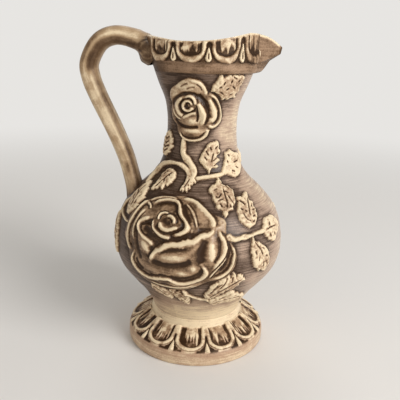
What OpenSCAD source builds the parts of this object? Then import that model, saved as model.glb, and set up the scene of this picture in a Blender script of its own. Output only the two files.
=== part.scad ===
// Relief jug: a pouring jug of luted clay pieces with roses, leaves, tongues and darts.
// Millimetres. The origin is the middle of the resting ring, +Z is up, the spout points to +X
// and the handle to -X. An angle on the wall is counted from the front (-Y) towards the spout.

/* [Clay] */
// Thickness of the thrown walls
wall = 4.5; // [3.5:0.25:6]
// Thickness of the slip that a luted piece is set in
slip_t = 0.15; // [0.1:0.05:0.3]

/* [Foot] */
// Radius of the foot at its rim
foot_r = 49.5; // [46:0.5:54]
// Height of the plain rim of the foot
foot_rim_h = 9.5; // [8:0.5:12]
// Height of the slope that carries the tongues
foot_slope_h = 10.5; // [9:0.5:13]
// Height of the throat between the slope and the belly
throat_h = 5; // [4:0.5:8]
// How far the throat flares where it meets the slope
throat_flare = 1.7; // [1:0.1:3]
// Width of the ring that the jug rests on
foot_ring_w = 8; // [6:0.5:12]
// Depth of the hollow under the foot
recess_d = 2; // [1:0.25:3]
// Thickness of the floor inside the foot
floor_t = 5; // [4:0.5:7]
// Rounding of the edges of the rim
foot_edge = 1.2; // [0.6:0.1:2]

/* [Belly] */
// Radius of the waist where the belly sits on the foot
waist_r = 31.5; // [28:0.5:36]
// Radius of the belly at its widest
belly_r = 58.3; // [52:0.5:64]
// Height from the waist to the widest place
belly_low_h = 51; // [44:1:58]
// Height from the widest place to the neck
belly_high_h = 52; // [46:1:58]
// Radius of the seam between belly and neck
shoulder_r = 28.4; // [26:0.2:32]

/* [Neck] */
// Radius of the neck at its narrowest
neck_r = 23.3; // [20:0.1:26]
// Height from the seam to the narrowest place
neck_low_h = 27; // [22:1:32]
// Height from the narrowest place to the collar
neck_high_h = 35; // [30:1:40]
// Radius of the neck under the collar
neck_top_r = 32.3; // [30:0.1:34]

/* [Rim] */
// Radius of the collar at its band
collar_r = 37.5; // [36.5:0.1:42]
// Height of the plain strip under the band
strip_h = 6.5; // [5:0.5:8]
// How far the strip stands back from the band
strip_inset = 0.8; // [0.4:0.1:1.2]
// Height of the band at its lowest place
band_h = 12; // [10:0.5:14]
// How far the band rises beside the spout
ear_rise = 5.8; // [4:0.2:7]
// Thickness of the collar at its top
rim_t = 4; // [3:0.25:5]
// Radius of the saddle that the top of the collar follows
saddle_r = 120; // [110:5:140]
// How far the lowest place of the saddle lies towards the handle
saddle_shift = 8; // [4:1:12]

/* [Spout] */
// How far the tip stands out from the band
spout_reach = 12.6; // [9:0.2:16]
// Half of the angle that the spout takes out of the collar
spout_half_angle = 21; // [18:1:25]
// How far the tip lies under the top of the collar
spout_drop = 7; // [5:0.5:9]
// Thickness of the lip at the tip
spout_lip_t = 4.6; // [3:0.2:6]

/* [Handle] */
// How far the middle of the handle stands out from the band
handle_reach = 39; // [34:1:44]
// How far the middle of the arch stands above the lowest place of the rim
handle_rise = 2.7; // [1:0.1:6]
// Width of the strap
handle_w = 14; // [11:0.5:17]
// Thickness of the strap
handle_t = 11.6; // [9:0.2:14]

/* [Tongues and darts] */
// Tongues around the foot
foot_tongues_n = 12; // [10:1:14]
// Width of the raised edge of a tongue
tongue_edge_w = 2.4; // [1.8:0.1:3]
// Height of the raised edge of a tongue
tongue_edge_t = 1.3; // [0.8:0.1:2]
// Width of a dart
dart_w = 3.6; // [2.5:0.1:4.5]
// Height of a dart
dart_t = 1.2; // [0.8:0.1:2]

/* [Roses] */
// Half of the angle that the belly rose takes up around the wall
belly_rose_half_angle = 39; // [34:0.5:41]
// Half of the height of the belly rose
belly_rose_half_h = 27; // [24:0.5:29]
// Height of the inner petals of the belly rose above the wall
belly_rose_t = 5.2; // [4:0.1:6.5]
// Half of the angle that the neck rose takes up around the wall
neck_rose_half_angle = 44; // [38:0.5:46]
// Half of the height of the neck rose
neck_rose_half_h = 18.4; // [16:0.1:19.5]
// Height of the inner petals of the neck rose above the wall
neck_rose_t = 4.4; // [3:0.1:5.5]

/* [Leaves and stems] */
// Height of a leaf above the wall
leaf_t = 1.9; // [1.2:0.1:2.6]
// Width of the widest leaf
leaf_w = 15; // [12:0.5:17]
// Width of a stem
stem_w = 2.8; // [2:0.1:3.6]
// Height of a stem above the wall
stem_t = 1.8; // [1.2:0.1:2.4]

/* [Hidden] */
$fn = 96;

// Heights of the seams, from the resting ring up
slope_z = foot_rim_h + foot_slope_h;
foot_h = slope_z + throat_h;
widest_z = foot_h + belly_low_h;
shoulder_z = widest_z + belly_high_h;
narrow_z = shoulder_z + neck_low_h;
collar_z = narrow_z + neck_high_h;
strip_z = collar_z + strip_h;
rim_low_z = strip_z + band_h;
ear_z = rim_low_z + ear_rise;
tip_z = ear_z - spout_drop;
body_h = collar_z - foot_h;

// Radii that follow from the driving ones
slope_r = foot_r - foot_edge;
throat_r = waist_r + throat_flare;
ring_r = foot_r - foot_edge - foot_ring_w;
well_r = slope_r - 2 * wall;
floor_z = recess_d + floor_t;
strip_r = collar_r - strip_inset;
tip_r = collar_r + spout_reach;

// Run of the wall: share of each stretch's height, share of its change of radius
belly_low_shares = [[0, 0], [0.1, 0.067], [0.216, 0.198], [0.333, 0.347], [0.49, 0.593],
    [0.686, 0.866], [0.882, 0.989]];
belly_high_shares = [[0, 1], [0.115, 0.993], [0.346, 0.903], [0.538, 0.726], [0.712, 0.458],
    [0.865, 0.174]];
neck_low_shares = [[0, 1], [0.37, 0.353], [0.74, 0.06]];
neck_high_shares = [[0, 0], [0.2, 0.022], [0.486, 0.211], [0.771, 0.667], [1, 1]];

function stretch(shares, low_z, high, low_r, high_r) =
    [for (s = shares) [low_z + s[0] * high, low_r + s[1] * (high_r - low_r)]];

body_line = concat(
    stretch(belly_low_shares, foot_h, belly_low_h, waist_r, belly_r),
    stretch(belly_high_shares, widest_z, belly_high_h, shoulder_r, belly_r),
    stretch(neck_low_shares, shoulder_z, neck_low_h, neck_r, shoulder_r),
    stretch(neck_high_shares, narrow_z, neck_high_h, neck_r, neck_top_r));

// Smooth curve through a table of [place, value] pairs
function span_of(line, x, i = 0) =
    i >= len(line) - 2 || x < line[i + 1][0] ? i : span_of(line, x, i + 1);

function lean_at(line, i) =
    let (a = line[max(i - 1, 0)], b = line[min(i + 1, len(line) - 1)])
    (b[1] - a[1]) / (b[0] - a[0]);

function smooth_at(line, x) =
    let (
        i = span_of(line, x),
        w = line[i + 1][0] - line[i][0],
        t = (x - line[i][0]) / w)
    (2 * t ^ 3 - 3 * t ^ 2 + 1) * line[i][1] + (t ^ 3 - 2 * t ^ 2 + t) * w * lean_at(line, i)
    + (3 * t ^ 2 - 2 * t ^ 3) * line[i + 1][1] + (t ^ 3 - t ^ 2) * w * lean_at(line, i + 1);

function mix(a, b, t) = a + (b - a) * t;

// Outer radius of the whole jug at a height
function outer_r(z) =
    z < foot_rim_h ? foot_r
    : z < slope_z ? mix(slope_r, throat_r, (z - foot_rim_h) / foot_slope_h)
    : z < foot_h ? mix(throat_r, waist_r, (z - slope_z) / throat_h)
    : z <= collar_z ? smooth_at(body_line, z)
    : collar_r;

// Point at a height above the wall, square to it
lean_probe = slip_t;

function wall_lean(z) = (outer_r(z + lean_probe) - outer_r(z - lean_probe)) / (2 * lean_probe);

function on_wall(angle, z, high) =
    let (
        lean = wall_lean(z),
        long = sqrt(1 + lean * lean),
        r = outer_r(z) + high / long)
    [r * sin(angle), -r * cos(angle), z - high * lean / long];

function deg_along(u, z) = u / outer_r(z) * 180 / PI;

function along_deg(angle, z) = angle * PI / 180 * outer_r(z);

function up(share) = foot_h + share * body_h;

// Smooth curve through a list of points, from the second to the last but one
function curve_point(p, i, t) =
    0.5 * (2 * p[i] + (p[i + 1] - p[i - 1]) * t
    + (2 * p[i - 1] - 5 * p[i] + 4 * p[i + 1] - p[i + 2]) * t ^ 2
    + (3 * p[i] - p[i - 1] - 3 * p[i + 1] + p[i + 2]) * t ^ 3);

function curve(p, steps) = concat(
    [for (i = [1 : len(p) - 3]) for (k = [0 : steps - 1]) curve_point(p, i, k / steps)],
    [p[len(p) - 2]]);

function with_ends(p) = concat([2 * p[0] - p[1]], p, [2 * p[len(p) - 1] - p[len(p) - 2]]);

// Piece of clay on the wall: rows of [angle, height, thickness], left to right, low to high
module relief(grid) {
    rows = len(grid);
    cols = len(grid[0]);
    n = rows * cols;
    tops = [for (row = grid) for (p = row) on_wall(p[0], p[1], slip_t + p[2])];
    backs = [for (row = grid) for (p = row) on_wall(p[0], p[1], slip_t)];
    cells = [for (i = [0 : rows - 2]) for (j = [0 : cols - 2]) i * cols + j];
    edge = concat(
        [for (j = [0 : cols - 2]) j],
        [for (i = [0 : rows - 2]) i * cols + cols - 1],
        [for (j = [cols - 1 : -1 : 1]) (rows - 1) * cols + j],
        [for (i = [rows - 1 : -1 : 1]) i * cols]);
    faces = concat(
        [for (a = cells) for (f = [[a, a + cols, a + cols + 1], [a, a + cols + 1, a + 1]]) f],
        [for (a = cells) for (f = [[a, a + cols + 1, a + cols], [a, a + 1, a + cols + 1]])
            [n + f[0], n + f[1], n + f[2]]],
        [for (k = [0 : len(edge) - 1])
            let (p = edge[k], q = edge[(k + 1) % len(edge)])
            for (f = [[p, q, n + q], [p, n + q, n + p]]) f]);
    polyhedron(concat(tops, backs), faces);
}

// Strip of clay along a path of [angle, height] points
function heading(path, i) =
    let (
        a = path[max(i - 1, 0)],
        b = path[min(i + 1, len(path) - 1)],
        z = path[i][1],
        lean = wall_lean(z),
        t = [(b[0] - a[0]) * PI / 180 * outer_r(z), (b[1] - a[1]) * sqrt(1 + lean * lean)])
    t / norm(t);

function strip_grid(path, halves, crown_shares, thick) =
    [for (i = [0 : len(path) - 1])
        let (h = heading(path, i), z = path[i][1], lean = wall_lean(z))
        [for (j = [0 : len(crown_shares) - 1])
            let (off = halves[i] * mix(-1, 1, j / (len(crown_shares) - 1)))
            [path[i][0] + deg_along(off * h[1], z),
             z - off * h[0] / sqrt(1 + lean * lean),
             thick * crown_shares[j]]]];

// Leaf: base angle, base height share, tip angle, tip height share, share of the widest leaf
leaf_names = ["neck_top_leaf", "neck_handle_leaf", "neck_low_leaf", "neck_spout_leaf",
    "shoulder_bud_leaf", "shoulder_handle_leaf", "shoulder_front_leaf", "shoulder_spout_leaf",
    "shoulder_stalk_leaf", "belly_tip_leaf", "belly_hanging_leaf", "belly_handle_leaf",
    "base_upper_leaf", "base_lower_leaf", "base_handle_leaf"];
leaf_shares = [
    [21, 0.93, 57, 0.972, 0.8],
    [-68, 0.665, -64, 0.775, 0.53],
    [12, 0.634, 27, 0.742, 0.84],
    [37, 0.632, 60, 0.706, 0.77],
    [-29, 0.63, -52, 0.552, 0.74],
    [-62, 0.558, -61, 0.448, 0.74],
    [23, 0.594, 27, 0.492, 1],
    [42.5, 0.434, 51.5, 0.552, 0.87],
    [-4, 0.615, -9, 0.568, 0.4],
    [55, 0.412, 80, 0.39, 1],
    [41.5, 0.388, 52, 0.24, 0.9],
    [-72, 0.436, -64, 0.262, 0.66],
    [12.5, 0.2, 37.5, 0.248, 0.8],
    [17, 0.122, 52, 0.12, 0.53],
    [-20, 0.121, -37, 0.194, 0.53]];
leaf_outline_shares = [0.1, 0.62, 0.54, 0.98, 0.78, 0.9, 0.58, 0.6, 0.05];
leaf_crown_shares = [0.45, 1, 0.7, 1, 0.45];
leaf_stations = len(leaf_outline_shares) - 1;

module leaf(i) {
    s = leaf_shares[i];
    path = [for (k = [0 : leaf_stations])
        let (t = k / leaf_stations) [mix(s[0], s[2], t), up(mix(s[1], s[3], t))]];
    halves = [for (o = leaf_outline_shares) o * s[4] * leaf_w / 2];
    color("wheat") relief(strip_grid(path, halves, leaf_crown_shares, leaf_t));
}

// Stems: points of [angle, height share] along each
stem_shares = [
    [[-24, 0.737], [-23.5, 0.69], [-12, 0.658], [-3, 0.634]],
    [[-72, 0.572], [-64, 0.62], [-43, 0.655], [-26, 0.654]],
    [[2, 0.603], [18, 0.61], [34, 0.623]],
    [[31, 0.412], [41, 0.402], [53, 0.414]],
    [[-2, 0.155], [7, 0.137], [15, 0.124]]];
stem_crown_shares = [0.3, 1, 0.3];
stem_steps = 4;

module stems() {
    color("burlywood")
        for (s = stem_shares) {
            path = curve(with_ends([for (p = s) [p[0], up(p[1])]]), stem_steps);
            relief(strip_grid(path, [for (p = path) stem_w / 2], stem_crown_shares, stem_t));
        }
}

// Roses: angle, height share, half sizes, height of the inner petals
rose_angle = -10.6;
belly_rose_share = 0.389;
neck_rose_share = 0.853;
belly_rose = [rose_angle, belly_rose_share,
    along_deg(belly_rose_half_angle, up(belly_rose_share)), belly_rose_half_h, belly_rose_t];
neck_rose = [rose_angle, neck_rose_share,
    along_deg(neck_rose_half_angle, up(neck_rose_share)), neck_rose_half_h, neck_rose_t];

// Rings of petals: middle and half sizes as shares of the rose, share of its height
belly_heart_shares = [-0.15, 0.4, 0.22, 0.22, 1.05];
belly_inner_shares = [-0.22, 0.37, 0.43, 0.42, 1];
belly_middle_shares = [-0.08, 0.2, 0.76, 0.66, 0.82];
belly_outer_shares = [0, 0, 1, 1, 0.64];
neck_heart_shares = [-0.22, 0.22, 0.3, 0.3, 1.05];
neck_inner_shares = [-0.12, 0.06, 0.64, 0.64, 1];
neck_outer_shares = [0, 0, 1, 1, 0.7];

// Petals of each ring, the angle of the first and the sweep of an open ring
inner_petals_n = 3;
middle_petals_n = 4;
outer_petals_n = 5;
belly_inner_start_angle = 75;
belly_middle_start_angle = 28;
belly_outer_start_angle = 150;
belly_outer_sweep_angle = 250;
neck_inner_start_angle = 40;
neck_outer_start_angle = 42;

petal_gap_share = 0.03;
petal_gap_angle = 2;
petal_notch_share = 0.16;
petal_crown_shares = [0.6, 0.52, 0.7, 1];
petal_steps = 6;
heart_steps = 8;
heart_fall_share = 0.45;

function rose_point(rose, p) =
    let (z = up(rose[1]) + p[1] * rose[3])
    [rose[0] + deg_along(p[0] * rose[2], z), z];

// How far a ring reaches from a place inside it, as a share
function ring_reach(ring, from, d) =
    let (
        p = [(from[0] - ring[0]) / ring[2], (from[1] - ring[1]) / ring[3]],
        q = [d[0] / ring[2], d[1] / ring[3]])
    (sqrt((p * q) ^ 2 - (q * q) * (p * p - 1)) - p * q) / (q * q);

function petal_grid(rose, heart, inner, outer, from_angle, to_angle) =
    let (cols = len(petal_crown_shares) - 1)
    [for (i = [0 : petal_steps])
        let (
            t = i / petal_steps,
            a = mix(from_angle, to_angle, t),
            d = [cos(a), sin(a)],
            near = ring_reach(inner, heart, d) + petal_gap_share,
            far = ring_reach(outer, heart, d),
            lobe = mix(near, far, 1 - petal_notch_share * (2 * t - 1) ^ 4))
        [for (j = [0 : cols])
            let (p = rose_point(rose, [heart[0], heart[1]] + mix(near, lobe, j / cols) * d))
            [p[0], p[1], rose[4] * outer[4] * petal_crown_shares[j]]]];

module petals(rose, heart, inner, outer, n, start, sweep = 360) {
    pitch = sweep / n;
    color("antiquewhite")
        for (k = [0 : n - 1])
            relief(petal_grid(rose, heart, inner, outer,
                start + k * pitch + petal_gap_angle, start + (k + 1) * pitch - petal_gap_angle));
}

module rose_heart(rose, ring) {
    color("cornsilk")
        relief([for (i = [0 : heart_steps]) [for (j = [0 : heart_steps])
            let (
                x = mix(-1, 1, j / heart_steps),
                y = mix(-1, 1, i / heart_steps),
                d = [x * sqrt(1 - y * y / 2), y * sqrt(1 - x * x / 2)],
                p = rose_point(rose, [ring[0] + d[0] * ring[2], ring[1] + d[1] * ring[3]]))
            [p[0], p[1], rose[4] * ring[4] * (1 - heart_fall_share * (d * d))]]]);
}

module belly_rose_heart() {
    rose_heart(belly_rose, belly_heart_shares);
}

module belly_rose_inner_petals() {
    petals(belly_rose, belly_heart_shares, belly_heart_shares, belly_inner_shares,
        inner_petals_n, belly_inner_start_angle);
}

module belly_rose_middle_petals() {
    petals(belly_rose, belly_heart_shares, belly_inner_shares, belly_middle_shares,
        middle_petals_n, belly_middle_start_angle);
}

module belly_rose_outer_petals() {
    petals(belly_rose, belly_heart_shares, belly_middle_shares, belly_outer_shares,
        outer_petals_n, belly_outer_start_angle, belly_outer_sweep_angle);
}

module neck_rose_heart() {
    rose_heart(neck_rose, neck_heart_shares);
}

module neck_rose_inner_petals() {
    petals(neck_rose, neck_heart_shares, neck_heart_shares, neck_inner_shares,
        inner_petals_n, neck_inner_start_angle);
}

module neck_rose_outer_petals() {
    petals(neck_rose, neck_heart_shares, neck_inner_shares, neck_outer_shares,
        outer_petals_n, neck_outer_start_angle);
}

// Tongues: half of the angle, and shares of the height of the field that they stand in
foot_tongue_half_share = 0.36;
foot_tongue_shares = [0.45, 0.33, 0.72, 0.96];
rim_pitch = 360 / 11;
rim_tongue_half_share = 0.29;
rim_tongue_shares = [0.56, 0.44, 0.8, 0.98];
rim_tongues_side_n = 5;
tongue_turn_steps = 6;
tongue_crown_shares = [0.3, 1, 0.3];

function tongue_path(angle, half, low_z, high, shares, turn) =
    [for (p = concat(
            [[1, shares[3]], [1, shares[2]]],
            [for (k = [0 : tongue_turn_steps * turn / 180])
                let (t = 180 * k / tongue_turn_steps)
                [cos(t), shares[0] - shares[1] * sin(t)]],
            turn == 180 ? [[-1, shares[2]], [-1, shares[3]]] : []))
        [angle + p[0] * half, low_z + p[1] * high]];

module tongue(angle, half, low_z, high, shares, turn = 180) {
    path = tongue_path(angle, half, low_z, high, shares, turn);
    halves = [for (p = path) tongue_edge_w / 2];
    relief(strip_grid(path, halves, tongue_crown_shares, tongue_edge_t));
}

// Darts: shares of the height of the field, and of the dart's width along it
foot_dart_shares = [0.05, 0.46];
rim_dart_shares = [0.05, 0.62];
dart_outline_shares = [0.2, 0.85, 1, 0.62, 0.1];
dart_crown_shares = [0.35, 1, 0.35];
dart_stations = len(dart_outline_shares) - 1;

module dart(angle, low_z, high, shares) {
    path = [for (k = [0 : dart_stations])
        [angle, low_z + high * mix(shares[0], shares[1], k / dart_stations)]];
    relief(strip_grid(path, [for (o = dart_outline_shares) o * dart_w / 2],
        dart_crown_shares, dart_t));
}

module foot_tongues() {
    pitch = 360 / foot_tongues_n;
    color("wheat")
        for (k = [0 : foot_tongues_n - 1])
            tongue(k * pitch, pitch * foot_tongue_half_share, foot_rim_h, foot_slope_h,
                foot_tongue_shares);
}

module foot_darts() {
    pitch = 360 / foot_tongues_n;
    color("antiquewhite")
        for (k = [0 : foot_tongues_n - 1])
            dart((k + 0.5) * pitch, foot_rim_h, foot_slope_h, foot_dart_shares);
}

module both_sides() {
    children();
    mirror([0, 1, 0]) children();
}

// The last tongue on each side runs out under the handle
module rim_tongues() {
    color("wheat")
        both_sides()
            for (k = [1 : rim_tongues_side_n])
                tongue(90 - k * rim_pitch, rim_pitch * rim_tongue_half_share, strip_z, band_h,
                    rim_tongue_shares, k < rim_tongues_side_n ? 180 : 90);
}

module rim_darts() {
    color("antiquewhite")
        both_sides()
            for (k = [1 : rim_tongues_side_n - 1])
                dart(90 - (k + 0.5) * rim_pitch, strip_z, band_h, rim_dart_shares);
}

// Shells of the body
belly_steps = 30;
neck_steps = 22;

function wall_line(low_z, high_z, steps, inset) =
    [for (i = [0 : steps]) let (z = mix(low_z, high_z, i / steps)) [outer_r(z) - inset, z]];

function turned(list) = [for (i = [len(list) - 1 : -1 : 0]) list[i]];

module shell(low_z, high_z, steps) {
    rotate_extrude()
        polygon(concat(
            wall_line(low_z, high_z, steps, 0),
            turned(wall_line(low_z, high_z, steps, wall))));
}

module foot() {
    color("tan")
        rotate_extrude()
            polygon([
                [ring_r, 0],
                [slope_r, 0],
                [foot_r, foot_edge],
                [foot_r, foot_rim_h - foot_edge],
                [slope_r, foot_rim_h],
                [throat_r, slope_z],
                [waist_r, foot_h],
                [waist_r - wall, foot_h],
                [throat_r - wall, slope_z],
                [well_r, floor_z],
                [0, floor_z],
                [0, recess_d],
                [ring_r, recess_d]]);
}

module belly() {
    color("rosybrown") shell(foot_h, shoulder_z, belly_steps);
}

module neck() {
    color("rosybrown") shell(shoulder_z, collar_z, neck_steps);
}

// Section of the collar as [radius, height], from the bore over the rim and down to the neck
collar_section = [
    [neck_top_r - wall, collar_z],
    [collar_r - rim_t, strip_z],
    [collar_r - rim_t, ear_z],
    [collar_r, ear_z],
    [collar_r, strip_z],
    [strip_r, strip_z],
    [strip_r, collar_z + strip_inset],
    [neck_top_r, collar_z]];

module collar_band() {
    rotate([0, 0, spout_half_angle])
        rotate_extrude(angle = 360 - 2 * spout_half_angle)
            polygon(collar_section);
}

module saddle_cut() {
    translate([-saddle_shift, 0, rim_low_z + saddle_r])
        rotate([90, 0, 0])
            cylinder(r = saddle_r, h = 4 * collar_r, center = true);
}

module rim_collar() {
    color("tan")
        difference() {
            collar_band();
            saddle_cut();
        }
}

// Section of the beak at its tip, point for point with the collar's
keel_reach_share = 0.28;
keel_rise_share = 0.2;
tip_under_share = 0.34;
spout_floor_share = 0.25;
tip_section = [
    [neck_top_r - wall, collar_z],
    [collar_r - rim_t + spout_reach * spout_floor_share, strip_z],
    [tip_r - spout_lip_t, tip_z],
    [tip_r, tip_z],
    [tip_r - tip_under_share * spout_lip_t / 2, tip_z - tip_under_share * spout_drop],
    [collar_r + spout_reach * keel_reach_share, strip_z + band_h * keel_rise_share],
    [collar_r, collar_z + strip_inset],
    [neck_top_r, collar_z]];

// Triangles of the notched section, by the places of its points
section_cuts = [[0, 1, 6], [0, 6, 7], [1, 5, 6], [1, 2, 5], [2, 3, 5], [3, 4, 5]];

function at_angle(section, angle) =
    [for (p = section) [p[0] * cos(angle), p[0] * sin(angle), p[1]]];

module spout() {
    n = len(collar_section);
    sections = [
        at_angle(collar_section, -spout_half_angle),
        at_angle(tip_section, 0),
        at_angle(collar_section, spout_half_angle)];
    points = [for (s = sections) for (p = s) p];
    faces = concat(
        section_cuts,
        [for (f = section_cuts) [for (k = turned(f)) 2 * n + k]],
        [for (s = [0 : 1]) for (k = [0 : n - 1])
            let (a = s * n + k, b = s * n + (k + 1) % n)
            for (f = [[a, a + n, b + n], [a, b + n, b]]) f]);
    color("peru") polyhedron(points, faces);
}

// Run of the handle: share of its reach, share of the height from its root to its arch
handle_root_share = 0.521;
handle_path_shares = [[0, 0.931], [0.141, 0.963], [0.5, 1], [0.808, 0.956], [1, 0.828],
    [0.982, 0.724], [0.844, 0.592], [0.564, 0.372], [0.382, 0.205], [0.256, 0.045], [0.197, -0.03]];
handle_thick_shares = [[0, 1.2], [0.12, 1.06], [0.4, 1.06], [0.7, 0.98], [0.9, 0.93], [1, 0.98]];
handle_steps = 4;
handle_sides_n = 14;
handle_core_share = 0.5;
handle_low_z = up(handle_root_share);
handle_top_z = rim_low_z + handle_rise;
handle_cope = 2 * handle_t;
cope_rounds_n = 24;
handle_points = [for (s = handle_path_shares)
    [-(collar_r + s[0] * handle_reach), mix(handle_low_z, handle_top_z, s[1])]];

function handle_ring(path, i, size) =
    let (
        n = len(path) - 1,
        along = path[min(i + 1, n)] - path[max(i - 1, 0)],
        t = along / norm(along),
        thick = handle_t * lookup(i / n, handle_thick_shares))
    [for (k = [0 : handle_sides_n - 1])
        let (
            a = 360 * k / handle_sides_n,
            off = size * thick / 2 * cos(a))
        [path[i][0] - off * t[1], size * handle_w / 2 * sin(a), path[i][1] + off * t[0]]];

// Place where a line from outside meets the slip on the wall
function meet_wall(p, d, near, far, rounds) =
    let (middle = (near + far) / 2, q = p + d * middle)
    rounds == 0 ? q
    : norm([q[0], q[1]]) < outer_r(q[2]) + slip_t ? meet_wall(p, d, near, middle, rounds - 1)
    : meet_wall(p, d, middle, far, rounds - 1);

function coped(ring, d) = [for (p = ring) meet_wall(p, d, 0, handle_cope, cope_rounds_n)];

module handle() {
    path = curve(handle_points, handle_steps);
    last = len(path) - 1;
    n = handle_sides_n;
    start = handle_points[0] - handle_points[1];
    finish = handle_points[len(handle_points) - 1] - handle_points[len(handle_points) - 2];
    start_d = [start[0], 0, start[1]] / norm(start);
    finish_d = [finish[0], 0, finish[1]] / norm(finish);
    rings = concat(
        [coped(handle_ring(path, 0, 0), start_d)],
        [coped(handle_ring(path, 0, handle_core_share), start_d)],
        [coped(handle_ring(path, 0, 1), start_d)],
        [for (i = [0 : last]) handle_ring(path, i, 1)],
        [coped(handle_ring(path, last, 1), finish_d)],
        [coped(handle_ring(path, last, handle_core_share), finish_d)],
        [coped(handle_ring(path, last, 0), finish_d)]);
    inner = [for (s = [1 : len(rings) - 2]) for (p = rings[s]) p];
    points = concat([rings[0][0]], inner, [rings[len(rings) - 1][0]]);
    bands = len(rings) - 3;
    end = len(points) - 1;
    faces = concat(
        [for (k = [0 : n - 1]) [0, 1 + k, 1 + (k + 1) % n]],
        [for (s = [0 : bands - 1]) for (k = [0 : n - 1])
            let (a = 1 + s * n + k, b = 1 + s * n + (k + 1) % n)
            for (f = [[a, a + n, b + n], [a, b + n, b]]) f],
        [for (k = [0 : n - 1]) [end, end - n + (k + 1) % n, end - n + k]]);
    color("tan") polyhedron(points, faces);
}

// The back carries the front's spray as its mirror image
module on_side(side) {
    mirror([0, side == "back" ? 1 : 0, 0]) children();
}

sides = ["front", "back"];
rose_names = ["belly_rose_heart", "belly_rose_inner_petals", "belly_rose_middle_petals",
    "belly_rose_outer_petals", "neck_rose_heart", "neck_rose_inner_petals",
    "neck_rose_outer_petals"];
spray_names = concat(rose_names, leaf_names, ["stems"]);

foot();
belly();
neck();
rim_collar();
spout();
handle();
foot_tongues();
foot_darts();
rim_tongues();
rim_darts();

module spray_piece(side, name) {
    on_side(side) children();
}

for (side = sides) {
    spray_piece(side, "belly_rose_heart") belly_rose_heart();
    spray_piece(side, "belly_rose_inner_petals") belly_rose_inner_petals();
    spray_piece(side, "belly_rose_middle_petals") belly_rose_middle_petals();
    spray_piece(side, "belly_rose_outer_petals") belly_rose_outer_petals();
    spray_piece(side, "neck_rose_heart") neck_rose_heart();
    spray_piece(side, "neck_rose_inner_petals") neck_rose_inner_petals();
    spray_piece(side, "neck_rose_outer_petals") neck_rose_outer_petals();
    spray_piece(side, "stems") stems();
    for (i = [0 : len(leaf_names) - 1])
        spray_piece(side, leaf_names[i]) leaf(i);
}
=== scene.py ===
import math

import bpy
import numpy as np
from mathutils import Matrix, Vector


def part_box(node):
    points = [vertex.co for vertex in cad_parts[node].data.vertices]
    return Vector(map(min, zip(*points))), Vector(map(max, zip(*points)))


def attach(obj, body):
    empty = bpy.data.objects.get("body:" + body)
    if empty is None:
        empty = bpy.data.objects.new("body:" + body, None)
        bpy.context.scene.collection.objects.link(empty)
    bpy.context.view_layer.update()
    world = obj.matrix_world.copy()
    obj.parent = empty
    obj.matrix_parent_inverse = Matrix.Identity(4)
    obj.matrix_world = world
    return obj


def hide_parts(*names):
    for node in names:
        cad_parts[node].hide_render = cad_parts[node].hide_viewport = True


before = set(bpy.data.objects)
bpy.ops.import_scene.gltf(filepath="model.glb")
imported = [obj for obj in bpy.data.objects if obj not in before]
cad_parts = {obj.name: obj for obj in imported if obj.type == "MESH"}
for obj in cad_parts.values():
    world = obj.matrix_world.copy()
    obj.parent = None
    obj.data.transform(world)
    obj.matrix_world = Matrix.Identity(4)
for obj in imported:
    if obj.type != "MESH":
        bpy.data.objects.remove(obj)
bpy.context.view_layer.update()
mm = 0.001  # the script counts in millimetres, Blender in metres


def nodeBox(name):
    low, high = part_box(name)
    return np.array(low) / mm, np.array(high) / mm


def smoothStep(low, high, value):
    t = np.clip((value - low) / (high - low), 0, 1)
    return t * t * (3 - 2 * t)


def blend(value, target, share):
    return value + (target - value) * share


# camera, fitted to the outlines of foot and collar
view = dict(
    picture=400,      # pixels each way
    focal=517.1,      # pixels
    sensor=36.0,
    distance=350.0,   # from the axis
    height=204.8,
    aside=0.23,
    pitch=16.38,      # degrees down
    roll=1.91,
    turn=4.5,         # how far the jug's front is turned away
    slant=1.04,       # how much longer the tilted ray runs to the near wall
    clip=0.01,        # metres
    search=(70.0, 40.0, 2200))  # how far before and behind the axis a ray is followed, in how many steps


def addCamera():
    data = bpy.data.cameras.new("photoCamera")
    data.sensor_width = view["sensor"]
    data.lens = view["focal"] * view["sensor"] / view["picture"]
    data.clip_start = view["clip"]
    camera = bpy.data.objects.new("photoCamera", data)
    bpy.context.collection.objects.link(camera)
    turn = Matrix.Rotation(math.radians(view["turn"]), 4, "Z")
    place = Vector((view["aside"], -view["distance"], view["height"])) * mm
    tilt = Matrix.Rotation(math.radians(90 - view["pitch"]), 4, "X")
    roll = Matrix.Rotation(math.radians(view["roll"]), 4, "Z")
    camera.matrix_world = turn @ Matrix.Translation(place) @ tilt @ roll
    bpy.context.scene.camera = camera


addCamera()
print("camera set")

# thrown wall: radii by height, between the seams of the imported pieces
wall = dict(
    thick=4.5,
    waistR=31.5,
    shoulderR=28.4,
    neckR=23.3,
    neckTopR=32.3,
    widestShare=0.495,   # of the belly's height
    narrowShare=0.435,   # of the neck's height
    runSteps=3301,
    bellyLowShares=[(0, 0), (0.1, 0.067), (0.216, 0.198), (0.333, 0.347), (0.49, 0.593),
                    (0.686, 0.866), (0.882, 0.989)],
    bellyHighShares=[(0, 1), (0.115, 0.993), (0.346, 0.903), (0.538, 0.726), (0.712, 0.458),
                     (0.865, 0.174)],
    neckLowShares=[(0, 1), (0.37, 0.353), (0.74, 0.06)],
    neckHighShares=[(0, 0), (0.2, 0.022), (0.486, 0.211), (0.771, 0.667), (1, 1)])

waistZ = nodeBox("belly")[0][2]
shoulderZ = nodeBox("belly")[1][2]
collarZ = nodeBox("neck")[1][2]
bellyR = nodeBox("belly")[1][0]
widestZ = waistZ + wall["widestShare"] * (shoulderZ - waistZ)
narrowZ = shoulderZ + wall["narrowShare"] * (collarZ - shoulderZ)


def stretch(shares, lowZ, highZ, lowR, highR):
    return [(lowZ + s * (highZ - lowZ), lowR + t * (highR - lowR)) for s, t in shares]


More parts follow.
